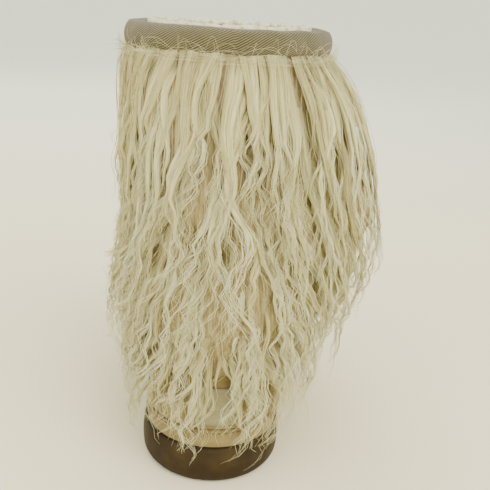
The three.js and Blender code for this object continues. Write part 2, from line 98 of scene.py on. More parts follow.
# The upper's rings, by share of the height up its back
RINGS = {
    "at": [0, 0.05, 0.105, 0.16, 0.225, 0.3, 0.39, 0.47, 0.55, 0.635, 0.74, 0.87, 1],
    "inset": [0, -0.08, -0.08, 0, 0.17, 0.42, 0.67, 0.83, 0.92, 0.96, 1, 1, 1],
    "front": [1, 1.01, 0.985, 0.925, 0.79, 0.611, 0.424, 0.257, 0.125, 0.049, 0.014, 0, 0],
    "rise": [0, 0.053, 0.115, 0.17, 0.212, 0.246, 0.292, 0.353, 0.434, 0.533, 0.672, 0.843, 1],
    "heel": [0.77, 0.79, 0.78, 0.75, 0.72, 0.71, 0.745, 0.79, 0.84, 0.89, 0.945, 0.98, 1],
    "waist": [0.76, 0.78, 0.78, 0.77, 0.75, 0.74, 0.765, 0.81, 0.85, 0.89, 0.945, 0.98, 1],
    "ball": [1, 1.02, 0.99, 0.91, 0.82, 0.76, 0.76, 0.795, 0.84, 0.89, 0.945, 0.98, 1],
    "toe": [0.93, 0.95, 0.9, 0.82, 0.74, 0.71, 0.72, 0.775, 0.82, 0.89, 0.945, 0.98, 1],
    "back_cap": [0.15, 0.15, 0.15, 0.16, 0.18, 0.22, 0.28, 0.36, 0.45, 0.5, 0.5, 0.5, 0.5],
    "front_cap": [0.21, 0.21, 0.22, 0.25, 0.31, 0.37, 0.42, 0.46, 0.5, 0.5, 0.5, 0.5, 0.5],
}
WIDTH_PLACES = [0.14, 0.42, 0.69, 0.9]
SWING = {"at": [0, 0.42, 0.7, 1], "swing": [0, -0.3, -0.6, 1]}

# How far the fleece stands off the upper on each side, as shares of FLEECE_DEPTH, up the height of the back
FLEECE_STAND = {
    "at": [-0.06, 0, 0.1, 0.2, 0.3, 0.4, 0.5, 0.6, 0.7, 0.8, 0.88, 0.95],
    "back": [0.13, 0.17, 0.25, 0.35, 0.42, 0.46, 0.47, 0.45, 0.39, 0.31, 0.22, 0.1],
    "inner": [0.22, 0.31, 0.46, 0.54, 0.52, 0.38, 0.24, 0.14, 0.09, 0.07, 0.07, 0.06],
    "front": [0.16, 0.16, 0.16, 0.19, 0.29, 0.42, 0.5, 0.48, 0.4, 0.31, 0.2, 0.1],
    "outer": [0.34, 0.48, 0.68, 0.87, 0.98, 1, 0.96, 0.83, 0.66, 0.48, 0.33, 0.14],
}
# Where the skin's fleece ends below, and where the lowest and the outermost tips hang to, as heights
FLEECE_HEM = [0.2, 0.2, 0.33, 0.22]
LOW_TIPS = [-0.06, -0.01, 0.22, 0.02]
OUTER_TIPS = [0.0, 0.07, 0.27, 0.1]


def along(places, values, at):
    """A smooth curve through a table's values that never overshoots them."""
    x = np.asarray(places, float)
    v = np.asarray(values, float)
    slope = np.diff(v) / np.diff(x)
    tangent = np.empty(len(x))
    tangent[0], tangent[-1] = slope[0], slope[-1]
    before, after = slope[:-1], slope[1:]
    flat = before * after <= 0
    tangent[1:-1] = np.where(flat, 0, 2 * before * after / np.where(flat, 1, before + after))
    at = np.clip(np.asarray(at, float), x[0], x[-1])
    i = np.clip(np.searchsorted(x, at, side="right") - 1, 0, len(x) - 2)
    span = x[i + 1] - x[i]
    s = (at - x[i]) / span
    rest = 1 - s
    ends = v[i] * (1 + 2 * s) * rest**2 + v[i + 1] * (3 - 2 * s) * s**2
    return ends + span * (tangent[i] * s * rest**2 - tangent[i + 1] * s**2 * rest)


def mix(start, end, share):
    """The value that lies a share of the way from start to end."""
    return start + (end - start) * share


def ease(low, high, value):
    """Rises smoothly from 0 at low to 1 at high."""
    s = np.clip((np.asarray(value, float) - low) / (high - low), 0, 1)
    return s * s * (3 - 2 * s)


def sole_column(column, y):
    """A column of the sole's table at a place along the boot."""
    return along(SOLE_PROFILE["at"], SOLE_PROFILE[column], (HEEL_CENTRE - y) / SOLE_LENGTH)


def tread_at(y):
    """How high the tread is off the floor."""
    return ARCH_LIFT * sole_column("arch", y) + TOE_SPRING * sole_column("spring", y)


def sole_top_at(y):
    """How high the sole's upper face is off the floor."""
    return mix(FOREFOOT_HEIGHT, HEEL_HEIGHT, sole_column("high", y)) + TOE_SPRING * sole_column("spring", y)


UPPER_LENGTH = SOLE_LENGTH - 2 * FLANGE
UPPER_BACK = HEEL_CENTRE - FLANGE
BALL_HALF = BALL_WIDTH / 2 - FLANGE
SHAFT_HALF = SHAFT_WIDTH / 2
SHAFT_FRONT = SHAFT_INSET + SHAFT_DEPTH
FEATHER_BACK = float(sole_top_at(UPPER_BACK)) + GAP
FEATHER_FRONT = float(sole_top_at(UPPER_BACK - UPPER_LENGTH)) + GAP
RIM = BOOT_HEIGHT - GAP - TAPE
LEG = RIM - FEATHER_BACK
FRONT_LEG = RIM - COLLAR_DIP - FEATHER_FRONT
RING_SAMPLES = 91


def face_ring(height, rounds):
    """Points of the upper's outer face at one height: round runs from 0 at the back to 0.5 at the toe."""
    column = {name: float(along(RINGS["at"], RINGS[name], height)) for name in RINGS if name != "at"}
    front = column["front"]
    half = mix(SHAFT_HALF, BALL_HALF, min(front, 1))
    widths = [half * column[name] for name in ("heel", "waist", "ball", "toe")]
    back = SHAFT_INSET * column["inset"]
    rise = column["rise"] if 0 < height < 1 else height
    length = SHAFT_FRONT + front * (UPPER_LENGTH - SHAFT_FRONT) - back

    def cap(share):
        """The round end of a plan outline, from 0 at its tip to 1."""
        return np.sqrt(np.clip(1 - (1 - np.minimum(share, 1)) ** 2, 0, None))

    def half_width(t):
        """Half the width at a share of the length."""
        caps = cap(t / column["back_cap"]) * cap((1 - t) / column["front_cap"])
        return along(WIDTH_PLACES, widths, t) * caps

    samples = (1 - np.cos(np.linspace(0, math.pi, RING_SAMPLES))) / 2
    reach = half_width(samples)
    far = np.concatenate([[0], np.cumsum(np.hypot(np.diff(samples) * length, np.diff(reach)))])
    turn = np.asarray(rounds, float) % 1
    side = np.where(turn < 0.5, 1.0, -1.0)
    step = np.where(turn < 0.5, 2 * turn, 2 * (1 - turn))
    t = np.interp(step * far[-1], far, samples)
    y = UPPER_BACK - back - t * length
    straight = mix(sole_top_at(UPPER_BACK), sole_top_at(UPPER_BACK - UPPER_LENGTH), t)
    sag = max(0, 1 - max(height, 0) / 0.3) ** 2 * (sole_top_at(y) - straight)
    x = side * half_width(t) + TOE_SWING * front * along(SWING["at"], SWING["swing"], t)
    z = mix(FEATHER_BACK + height * LEG, FEATHER_FRONT + rise * FRONT_LEG, t) + sag
    return np.stack([x, y, z], axis=-1)


# The upper's face and its outward directions on a fine grid, from which every piece takes its place
ROUNDS, LEVELS = 256, 253
LOWEST, HIGHEST = -0.16, 1.1
RING_PLACES = np.arange(ROUNDS) / ROUNDS
FACE = np.stack([face_ring(height, RING_PLACES) for height in np.linspace(LOWEST, HIGHEST, LEVELS)])
UP = np.gradient(FACE, axis=0)
ONWARD = np.roll(FACE, -1, axis=1) - np.roll(FACE, 1, axis=1)
OUTWARD = np.cross(UP, ONWARD)
OUTWARD /= np.linalg.norm(OUTWARD, axis=-1, keepdims=True)
ONWARD /= np.linalg.norm(ONWARD, axis=-1, keepdims=True)


def look_up(grid, rounds, heights):
    """A grid's value at places round the boot and heights up it, with whatever lies between blended."""
    u = (np.asarray(rounds, float) % 1) * ROUNDS
    v = (np.asarray(heights, float) - LOWEST) / (HIGHEST - LOWEST) * (LEVELS - 1)
    v = np.clip(v, 0, LEVELS - 1.001)
    u, v = np.broadcast_arrays(u, v)
    i, j = np.floor(u).astype(int), np.floor(v).astype(int)
    across, up = (u - i)[..., None], (v - j)[..., None]
    i, onward = i % ROUNDS, (i + 1) % ROUNDS
    low = grid[j, i] * (1 - across) + grid[j, onward] * across
    high = grid[j + 1, i] * (1 - across) + grid[j + 1, onward] * across
    return low * (1 - up) + high * up


def outward_at(rounds, heights):
    """The direction straight out of the upper's face."""
    normal = look_up(OUTWARD, rounds, heights)
    return normal / np.linalg.norm(normal, axis=-1, keepdims=True)


def stand_off(rounds, heights, stand):
    """Points that stand some millimetres off the upper's outer face, inwards where stand is negative."""
    return look_up(FACE, rounds, heights) + outward_at(rounds, heights) * np.asarray(stand, float)[..., None]


def by_side(rounds, values):
    """Blends four values round the boot: back, inner side, front and outer side."""
    turn = (np.asarray(rounds, float) % 1) * 4
    start = np.floor(turn).astype(int) % 4
    s = turn - np.floor(turn)
    share = s * s * (3 - 2 * s)
    values = np.asarray(values, float)
    if values.ndim == 1:
        return values[start] * (1 - share) + values[(start + 1) % 4] * share
    here = np.take_along_axis(values, start[None], axis=0)[0]
    onward = np.take_along_axis(values, ((start + 1) % 4)[None], axis=0)[0]
    return here * (1 - share) + onward * share


def fleece_stand(rounds, heights):
    """How deep the fleece is at each place."""
    rounds, heights = np.broadcast_arrays(rounds, heights)
    places = FLEECE_STAND["at"]
    sides = [along(places, FLEECE_STAND[side], heights) for side in ("back", "inner", "front", "outer")]
    return FLEECE_DEPTH * by_side(rounds, np.stack(sides))


def lumps(seed, waves, *axes):
    """A smooth uneven value, about -1 to 1, from a few sine waves over the given axes."""
    rng = np.random.default_rng(seed)
    total = 0
    for _ in range(waves):
        phase = rng.uniform(0, 2 * math.pi)
        for axis, reach in axes:
            phase = phase + np.asarray(axis) * reach * rng.uniform(-1, 1)
        total = total + np.sin(phase)
    return total / math.sqrt(waves)


# Meshes


def new_object(name, data):
    """A new object at the origin, in the scene."""
    obj = bpy.data.objects.new(name, data)
    bpy.context.scene.collection.objects.link(obj)
    return obj


def mesh_object(name, points, faces, material, smooth=True):
    """A mesh from points in millimetres, with its object at the origin."""
    mesh = bpy.data.meshes.new(name)
    mesh.from_pydata((np.asarray(points).reshape(-1, 3) * MM).tolist(), [], faces)
    mesh.polygons.foreach_set("use_smooth", np.full(len(mesh.polygons), smooth))
    mesh.materials.append(material)
    mesh.update()
    return new_object(name, mesh)


def strip_faces(low, high, closed):
    """Faces between two rows of point numbers, facing out where high lies above low."""
    corners = np.stack([low, high, np.roll(high, -1), np.roll(low, -1)], axis=-1)
    return [tuple(face) for face in corners[: None if closed else -1].tolist()]


def grid_faces(number, closed):
    """Faces through a grid of point numbers, from its first row to its last."""
    faces = []
    for low, high in zip(number, number[1:]):
        faces += strip_faces(low, high, closed)
    return faces


def hoop(name, rows, material):
    """A body through rings that go round the boot, up outside and down inside, closed on itself."""
    rows = np.asarray(rows)
    count, round_count = rows.shape[:2]
    number = np.arange(count * round_count).reshape(count, round_count)
    return mesh_object(name, rows, grid_faces(np.concatenate([number, number[:1]]), True), material)


def slab(name, outer, inner, material):
    """A thin body between an outer and an inner grid of points, with its four edges closed."""
    rows, columns = outer.shape[:2]
    out = np.arange(rows * columns).reshape(rows, columns)
    back = out + rows * columns
    faces = []
    for i in range(rows - 1):
        faces += strip_faces(out[i], out[i + 1], False)
        faces += strip_faces(back[i + 1], back[i], False)
    faces += strip_faces(back[0], out[0], False) + strip_faces(out[-1], back[-1], False)
    faces += strip_faces(out[:, 0], back[:, 0], False) + strip_faces(back[:, -1], out[:, -1], False)
    return mesh_object(name, np.concatenate([outer, inner]), faces, material)


def mark(obj, name, values, kind="FLOAT"):
    """Keeps a number or a vector for each point of a mesh, for its material or its nodes to read."""
    layer = obj.data.attributes.new(name, kind, "POINT")
    field = "value" if kind == "FLOAT" else "vector"
    layer.data.foreach_set(field, np.asarray(values, np.float32).ravel())


def wire(node, inputs):
    """Gives a node's inputs their values, or links them to other nodes' outputs."""
    for key, value in dict(inputs).items():
        if isinstance(value, bpy.types.NodeSocket):
            node.id_data.links.new(value, node.inputs[key])
        else:
            node.inputs[key].default_value = value


def set_stops(band, stops):
    """Gives a band of colours its stops, as pairs of place and hex colour."""
    while len(band.elements) < len(stops):
        band.elements.new(0.5)
    for element, (place, code) in zip(band.elements, stops):
        element.position = place
        element.color = linear(code)


def add(tree, kind, inputs=(), stops=(), **settings):
    """Adds a node with its settings, its inputs and any colour stops."""
    node = tree.nodes.new(kind)
    for key, value in settings.items():
        setattr(node, key, value)
    if stops:
        set_stops(node.color_ramp, stops)
    wire(node, inputs)
    return node


def linear(code):
    """An sRGB hex colour as linear red, green, blue and alpha."""
    parts = [int(code[k : k + 2], 16) / 255 for k in (1, 3, 5)]
    return [p / 12.92 if p <= 0.04045 else ((p + 0.055) / 1.055) ** 2.4 for p in parts] + [1]


# Materials, with the tones of each from dark to light
TAN_TONES = [(0.3, "#665832"), (0.5, "#827347"), (0.7, "#9A8B60")]
PALE_TONES = [(0.3, "#7B7553"), (0.5, "#8D8764"), (0.7, "#9E9876")]
SOLE_TONES = [(0.3, "#221809"), (0.5, "#2F2311"), (0.72, "#41331A")]
SHORN_TONES = [(0.32, "#D8CEA4"), (0.5, "#EDE8CC"), (0.68, "#F8F5E4")]
WOOL_TONES = [(0.0, "#76673A"), (0.22, "#A09462"), (0.48, "#C5BC84"), (0.75, "#DDD7A6"), (1.0, "#F0EFCE")]
LOW_UNDERWOOL_TONES = [(0.32, "#79693F"), (0.5, "#A29367"), (0.66, "#BFB386")]
HIGH_UNDERWOOL_TONES = [(0.32, "#9C885D"), (0.5, "#C4AF84"), (0.66, "#D9C9A0")]
# The twill's rib tones: the dark stops are painted shade in the grooves between the ribs
RIB_TONES_WITH_GROOVE_SHADE = [(0.1, "#2A2511"), (0.45, "#585032"), (0.9, "#887F5A")]
FADED_TONES = [(0.35, "#585037"), (0.62, "#7E785B")]
THREAD_TONES = [(0.35, "#3F3222"), (0.65, "#5E4D35")]


def finish_of(name):
    """A new material with its tree and its surface shader."""
    material = bpy.data.materials.new(name)
    material.use_nodes = True
    tree = material.node_tree
    return material, tree, tree.nodes["Principled BSDF"]


def object_place(tree, scale=(1, 1, 1)):
    """Places on the piece in millimetres, stretched by a scale."""
    place = add(tree, "ShaderNodeTexCoord").outputs["Object"]
    stretch = [s / MM for s in scale]
    return add(tree, "ShaderNodeMapping", {"Vector": place, "Scale": stretch}).outputs["Vector"]


def napped_suede(name, stops, shade):
    """Sheepskin suede: matt, with brushed patches of nap some millimetres wide over a fine fibre grain."""
    material, tree, surface = finish_of(name)
    place = object_place(tree)
    brushed = object_place(tree, (0.7, 0.7, 1.4))
    nap = {"Vector": brushed, "Scale": 0.07, "Detail": 5, "Roughness": 0.62}
    patches = add(tree, "ShaderNodeTexNoise", nap).outputs["Fac"]
    fibres = {"Vector": place, "Scale": 1.6, "Detail": 3, "Roughness": 0.7}
    grain = add(tree, "ShaderNodeTexNoise", fibres).outputs["Fac"]
    tone = add(tree, "ShaderNodeMix", {"Factor": 0.28, "A": patches, "B": grain}, data_type="FLOAT")
    colour = add(tree, "ShaderNodeValToRGB", {"Fac": tone.outputs["Result"]}, stops)
    bump = add(tree, "ShaderNodeBump", {"Height": grain, "Strength": 0.55, "Distance": 0.35 * MM})
    look = {
        "Base Color": colour.outputs["Color"],
        "Normal": bump.outputs["Normal"],
        "Roughness": 0.93,
        "IOR": 1.45,
        "Specular IOR Level": 0.25,
        "Sheen Weight": 0.35,
        "Sheen Roughness": 0.5,
        "Sheen Tint": linear(shade),
    }
    wire(surface, look)
    return material


def moulded_foam(name):
    """Moulded EVA foam: a dull skin with pin-prick pores, rubbed lighter where it is handled."""
    material, tree, surface = finish_of(name)
    place = object_place(tree)
    wear = {"Vector": place, "Scale": 0.045, "Detail": 5, "Roughness": 0.6}
    cloud = add(tree, "ShaderNodeTexNoise", wear).outputs["Fac"]
    pricks = {"Vector": place, "Scale": 2.2, "Detail": 2, "Roughness": 0.5}
    pores = add(tree, "ShaderNodeTexNoise", pricks).outputs["Fac"]
    bump = add(tree, "ShaderNodeBump", {"Height": pores, "Strength": 0.35, "Distance": 0.2 * MM})
    rough = add(tree, "ShaderNodeMapRange", {"Value": cloud, "To Min": 0.72, "To Max": 0.55})
    colour = add(tree, "ShaderNodeValToRGB", {"Fac": cloud}, SOLE_TONES)
    look = {
        "Base Color": colour.outputs["Color"],
        "Normal": bump.outputs["Normal"],
        "Roughness": rough.outputs["Result"],
        "IOR": 1.48,
        "Specular IOR Level": 0.2,
    }
    wire(surface, look)
    return material


def shorn_wool(name):
    """Sheared lamb's wool: cream, matt, in soft clumps a few millimetres across."""
    material, tree, surface = finish_of(name)
    place = object_place(tree)
    soft = {"Vector": place, "Scale": 0.3, "Detail": 4, "Roughness": 0.65}
    clumps = add(tree, "ShaderNodeTexNoise", soft).outputs["Fac"]
    fine = {"Vector": place, "Scale": 1.8, "Detail": 3, "Roughness": 0.7}
    fibre = add(tree, "ShaderNodeTexNoise", fine).outputs["Fac"]
    total = add(tree, "ShaderNodeMath", {0: clumps, 1: fibre}, operation="ADD").outputs[0]
    bump = add(tree, "ShaderNodeBump", {"Height": total, "Strength": 0.8, "Distance": 0.8 * MM})
    colour = add(tree, "ShaderNodeValToRGB", {"Fac": clumps}, SHORN_TONES)
    look = {
        "Base Color": colour.outputs["Color"],
        "Normal": bump.outputs["Normal"],
        "Roughness": 0.95,
        "Specular IOR Level": 0.2,
        "Sheen Weight": 0.5,
        "Sheen Roughness": 0.4,
        "Sheen Tint": linear("#FFF6E0"),
    }
    wire(surface, look)
    return material


def long_wool(name, stops):
    """Long sheep's wool: silky fibres, darker at the root, each strand a little lighter or browner."""
    material, tree, surface = finish_of(name)
    tone = add(tree, "ShaderNodeAttribute", attribute_name="tone").outputs["Fac"]
    place = object_place(tree, (1, 1, 0.25))
    fine = {"Vector": place, "Scale": 0.35, "Detail": 3, "Roughness": 0.6}
    streak = add(tree, "ShaderNodeTexNoise", fine).outputs["Fac"]
    spread = add(tree, "ShaderNodeMapRange", {"Value": streak, "To Min": -0.12, "To Max": 0.12})
    total = add(tree, "ShaderNodeMath", {0: tone, 1: spread.outputs["Result"]}, operation="ADD")
    colour = add(tree, "ShaderNodeValToRGB", {"Fac": total.outputs[0]}, stops)
    look = {
        "Base Color": colour.outputs["Color"],
        "Roughness": 0.55,
        "IOR": 1.55,
        "Specular IOR Level": 0.3,
        "Sheen Weight": 0.3,
        "Sheen Roughness": 0.35,
        "Sheen Tint": linear("#FFF8E4"),
    }
    wire(surface, look)
    return material


def combed_wool(name, stops):
    """A tuft's surface: fine fibres that run along it, some lighter and some in shade."""
    material, tree, surface = finish_of(name)
    fibre = add(tree, "ShaderNodeAttribute", attribute_name="fibre").outputs["Vector"]
    tone = add(tree, "ShaderNodeAttribute", attribute_name="tone").outputs["Fac"]
    fine = {"Vector": fibre, "Scale": 1.3, "Detail": 3, "Roughness": 0.7}
    streaks = add(tree, "ShaderNodeTexNoise", fine).outputs["Fac"]
    reach = {"Value": streaks, "From Min": 0.3, "From Max": 0.7, "To Min": -0.3, "To Max": 0.22}
    spread = add(tree, "ShaderNodeMapRange", reach)
    total = add(tree, "ShaderNodeMath", {0: tone, 1: spread.outputs["Result"]}, operation="ADD")
    colour = add(tree, "ShaderNodeValToRGB", {"Fac": total.outputs[0]}, stops)
    bump = add(tree, "ShaderNodeBump", {"Height": streaks, "Strength": 0.8, "Distance": 0.7 * MM})
    look = {
        "Base Color": colour.outputs["Color"],
        "Normal": bump.outputs["Normal"],
        "Roughness": 0.7,
        "IOR": 1.55,
        "Specular IOR Level": 0.25,
        "Sheen Weight": 0.35,
        "Sheen Roughness": 0.35,
        "Sheen Tint": linear("#FFF9E2"),
    }
    wire(surface, look)
    return material


def matted_underwool(name):
    """The dense wool under the locks: matt and shaded, in upright streaks, with skin tones near the tape."""
    material, tree, surface = finish_of(name)
    upright = {"Vector": object_place(tree, (1, 1, 0.12)), "Scale": 0.55, "Detail": 6, "Roughness": 0.7}
    streaks = add(tree, "ShaderNodeTexNoise", upright).outputs["Fac"]
    height = add(tree, "ShaderNodeAttribute", attribute_name="rise").outputs["Fac"]
    lower = add(tree, "ShaderNodeValToRGB", {"Fac": streaks}, LOW_UNDERWOOL_TONES)
    upper = add(tree, "ShaderNodeValToRGB", {"Fac": streaks}, HIGH_UNDERWOOL_TONES)
    share = add(tree, "ShaderNodeMapRange", {"Value": height, "From Min": 0.7, "From Max": 0.93})
    blend = {"Factor": share.outputs["Result"], "A": lower.outputs["Color"], "B": upper.outputs["Color"]}
    colour = add(tree, "ShaderNodeMix", blend, data_type="RGBA")
    bump = add(tree, "ShaderNodeBump", {"Height": streaks, "Strength": 0.9, "Distance": 1.5 * MM})
    look = {
        "Base Color": colour.outputs["Result"],
        "Normal": bump.outputs["Normal"],
        "Roughness": 0.95,
        "Specular IOR Level": 0.15,
    }
    wire(surface, look)
    return material


def cotton_twill(name):
    """Khaki cotton tape: round diagonal ribs about a millimetre apart, with painted shade dark in the
    grooves between them, faded in patches.

    The ribs are drawn coarser than real twill, so that they show.
    """
    material, tree, surface = finish_of(name)
    strip = add(tree, "ShaderNodeUVMap", uv_map="strip").outputs["UV"]
    slant = {"Vector": strip, "Rotation": (0, 0, math.radians(-62))}
    turned = add(tree, "ShaderNodeMapping", slant).outputs["Vector"]
    weave = {"Vector": turned, "Scale": 0.3, "Distortion": 0.2, "Detail": 1.5, "Detail Scale": 1.2}
    ribs = add(tree, "ShaderNodeTexWave", weave, bands_direction="X").outputs["Fac"]
    dust = {"Vector": object_place(tree), "Scale": 0.12, "Detail": 5, "Roughness": 0.65}
    worn = add(tree, "ShaderNodeTexNoise", dust).outputs["Fac"]
    # Painted shade: the ribs' colour is dark in the grooves and lighter on their tops
    ribs_with_groove_shade = add(tree, "ShaderNodeValToRGB", {"Fac": ribs}, RIB_TONES_WITH_GROOVE_SHADE)
    faded = add(tree, "ShaderNodeValToRGB", {"Fac": worn}, FADED_TONES)
    blend = {"Factor": 0.25, "A": ribs_with_groove_shade.outputs["Color"], "B": faded.outputs["Color"]}
    colour = add(tree, "ShaderNodeMix", blend, data_type="RGBA")
    bump = add(tree, "ShaderNodeBump", {"Height": ribs, "Strength": 0.9, "Distance": 0.5 * MM})
    look = {
        "Base Color": colour.outputs["Result"],
        "Normal": bump.outputs["Normal"],
        "Roughness": 0.9,
        "Specular IOR Level": 0.25,
        "Sheen Weight": 0.2,
    }
    wire(surface, look)
    return material


def waxed_thread(name):
    """Brown waxed sewing thread, slightly shiny."""
    material, tree, surface = finish_of(name)
    twist = add(tree, "ShaderNodeTexNoise", {"Vector": object_place(tree), "Scale": 3.0, "Detail": 1})
    colour = add(tree, "ShaderNodeValToRGB", {"Fac": twist.outputs["Fac"]}, THREAD_TONES)
    wire(surface, {"Base Color": colour.outputs["Color"], "Roughness": 0.5})
    return material


SUEDE_FINISH = napped_suede("napped_suede", TAN_TONES, "#E8D8B4")
LABEL_FINISH = napped_suede("nubuck_label", PALE_TONES, "#DDD8C0")
FOAM_FINISH = moulded_foam("moulded_foam")
SHORN_FINISH = shorn_wool("shorn_wool")
WOOL_FINISH = long_wool("long_wool", WOOL_TONES)
COMBED_FINISH = combed_wool("combed_wool", WOOL_TONES)
UNDERWOOL_FINISH = matted_underwool("matted_underwool")
TWILL_FINISH = cotton_twill("cotton_twill")
THREAD_FINISH = waxed_thread("waxed_thread")


# Nodes that sweep and repeat


def new_tree(name, sizes):
    """A geometry tree that takes a mesh, some named sizes and a finish, with its first node."""
    tree = bpy.data.node_groups.new(name, "GeometryNodeTree")
    inputs = [("Geometry", "Geometry"), *sizes, ("Finish", "Material")]
    for title, kind in inputs:
        tree.interface.new_socket(title, in_out="INPUT", socket_type=f"NodeSocket{kind}")
    tree.interface.new_socket("Geometry", in_out="OUTPUT", socket_type="NodeSocketGeometry")
    return tree, add(tree, "NodeGroupInput").outputs


def finish_tree(tree, geometry, finish):
    """Ends a geometry tree: whatever is repeated is made real and gets its material."""
    real = add(tree, "GeometryNodeRealizeInstances", {"Geometry": geometry})
    dressed = {"Geometry": real.outputs["Geometry"], "Material": finish}
    finished = add(tree, "GeometryNodeSetMaterial", dressed)
    add(tree, "NodeGroupOutput", {"Geometry": finished.outputs["Geometry"]})
    return tree


def sweep_tree():
    """Sweeps a small round section, as wide as each point's girth, along every strand."""
    tree, start = new_tree("swept_strands", [("Sides", "Int")])
    girth = add(tree, "GeometryNodeInputNamedAttribute", {"Name": "girth"}, data_type="FLOAT")
    paths = add(tree, "GeometryNodeMeshToCurve", {"Mesh": start["Geometry"]})
    section = add(tree, "GeometryNodeCurvePrimitiveCircle", {"Resolution": start["Sides"], "Radius": 1.0})
    sweep = {
        "Curve": paths.outputs["Curve"],
        "Profile Curve": section.outputs["Curve"],
        "Scale": girth.outputs["Attribute"],
        "Fill Caps": True,
    }
    swept = add(tree, "GeometryNodeCurveToMesh", sweep)
    smooth = add(tree, "GeometryNodeSetShadeSmooth", {"Geometry": swept.outputs["Mesh"]})
    return finish_tree(tree, smooth.outputs["Geometry"], start["Finish"])


def stitch_tree():
    """Lays one short stitch at each point, turned along the seam."""
    tree, start = new_tree("stitches", [("Length", "Float"), ("Thickness", "Float")])
    seam = add(tree, "GeometryNodeInputNamedAttribute", {"Name": "seam"}, data_type="FLOAT_VECTOR")
    turn = add(tree, "FunctionNodeAlignRotationToVector", {"Vector": seam.outputs["Attribute"]}, axis="Z")
    ball = add(tree, "GeometryNodeMeshUVSphere", {"Segments": 6, "Rings": 5, "Radius": 0.5})
    sizes = {"X": start["Thickness"], "Y": start["Thickness"], "Z": start["Length"]}
    size = add(tree, "ShaderNodeCombineXYZ", sizes)
    lay = {
        "Points": start["Geometry"],
        "Instance": ball.outputs["Mesh"],
        "Rotation": turn.outputs["Rotation"],
        "Scale": size.outputs["Vector"],
    }
    laid = add(tree, "GeometryNodeInstanceOnPoints", lay)
    return finish_tree(tree, laid.outputs["Instances"], start["Finish"])


def made_real(obj, tree, **inputs):
    """Runs a node tree over an object once and keeps the result as a plain mesh."""
    modifier = obj.modifiers.new("made", "NODES")
    modifier.node_group = tree
    for item in tree.interface.items_tree:
        if item.in_out == "INPUT" and item.name in inputs:
            modifier[item.identifier] = inputs[item.name]
    graph = bpy.context.evaluated_depsgraph_get()
    mesh = bpy.data.meshes.new_from_object(obj.evaluated_get(graph))
    mesh.name = obj.name
    obj.modifiers.remove(modifier)
    obj.data = mesh
    return obj


def strands(name, points, girth, tone, sides=3):
    """Strands of wool as one mesh: points and girth in millimetres, one row for each strand."""
    count, steps = points.shape[:2]
    mesh = bpy.data.meshes.new(name)
    mesh.vertices.add(count * steps)
    mesh.vertices.foreach_set("co", (points * MM).astype(np.float32).ravel())
    first = np.arange(count * steps).reshape(count, steps)
    edges = np.stack([first[:, :-1], first[:, 1:]], axis=-1).reshape(-1, 2)
    mesh.edges.add(len(edges))
    mesh.edges.foreach_set("vertices", edges.astype(np.int32).ravel())
    obj = new_object(name, mesh)
    mark(obj, "girth", girth * MM)
    mark(obj, "tone", tone)
    return made_real(obj, SWEEP, Sides=sides, Finish=WOOL_FINISH)


def stitches(name, rounds, heights, stand, length=2.6, thickness=0.75):
    """Stitches along a seam on the boot's face."""
    points = stand_off(rounds, heights, stand)
    runs = np.gradient(points, axis=0)
    obj = mesh_object(name, points, [], THREAD_FINISH)
    mark(obj, "seam", runs, "FLOAT_VECTOR")
    return made_real(obj, STITCH, Length=length * MM, Thickness=thickness * MM, Finish=THREAD_FINISH)


SWEEP = sweep_tree()
STITCH = stitch_tree()


# The camera stands where the photograph was taken from, turned to hold this one boot in the middle.
LENS = 56.8
SENSOR = 36
CAMERA_AT = Vector((24.2, 408.0, 277.4)) * MM
LOOKS_DOWN = math.radians(20.0)
TURNED = math.radians(2.7)
ROLLED = math.radians(1.1)
PHOTO_SIZE = 490
BOOT_MIDDLE_X = 348


def camera():
    """The camera, at the photograph's place and angle."""
    ahead = Vector((math.sin(TURNED), -math.cos(TURNED), 0))
    right = Vector((-math.cos(TURNED), -math.sin(TURNED), 0))
    above = Vector((0, 0, 1))
    forward = ahead * math.cos(LOOKS_DOWN) - above * math.sin(LOOKS_DOWN)
    upward = ahead * math.sin(LOOKS_DOWN) + above * math.cos(LOOKS_DOWN)
    side = right * math.cos(ROLLED) + upward * math.sin(ROLLED)
    upward = upward * math.cos(ROLLED) - right * math.sin(ROLLED)
    aside = math.atan((BOOT_MIDDLE_X - PHOTO_SIZE / 2) / PHOTO_SIZE * SENSOR / LENS)
    facing = forward * math.cos(aside) + side * math.sin(aside)
    side = side * math.cos(aside) - forward * math.sin(aside)
    data = bpy.data.cameras.new("camera")
    data.lens = LENS
    data.sensor_width = SENSOR
    data.clip_start = 0.02
    obj = new_object("camera", data)
    turn = Matrix((side, upward, -facing)).transposed()
    obj.matrix_world = Matrix.Translation(CAMERA_AT) @ turn.to_4x4()
    bpy.context.scene.camera = obj


# The boot's pieces


def flat_outward(rounds):
    """The level direction out of the foot's lower edge."""
    flat = outward_at(rounds, 0) * [1, 1, 0]
    return flat / np.linalg.norm(flat, axis=-1, keepdims=True)


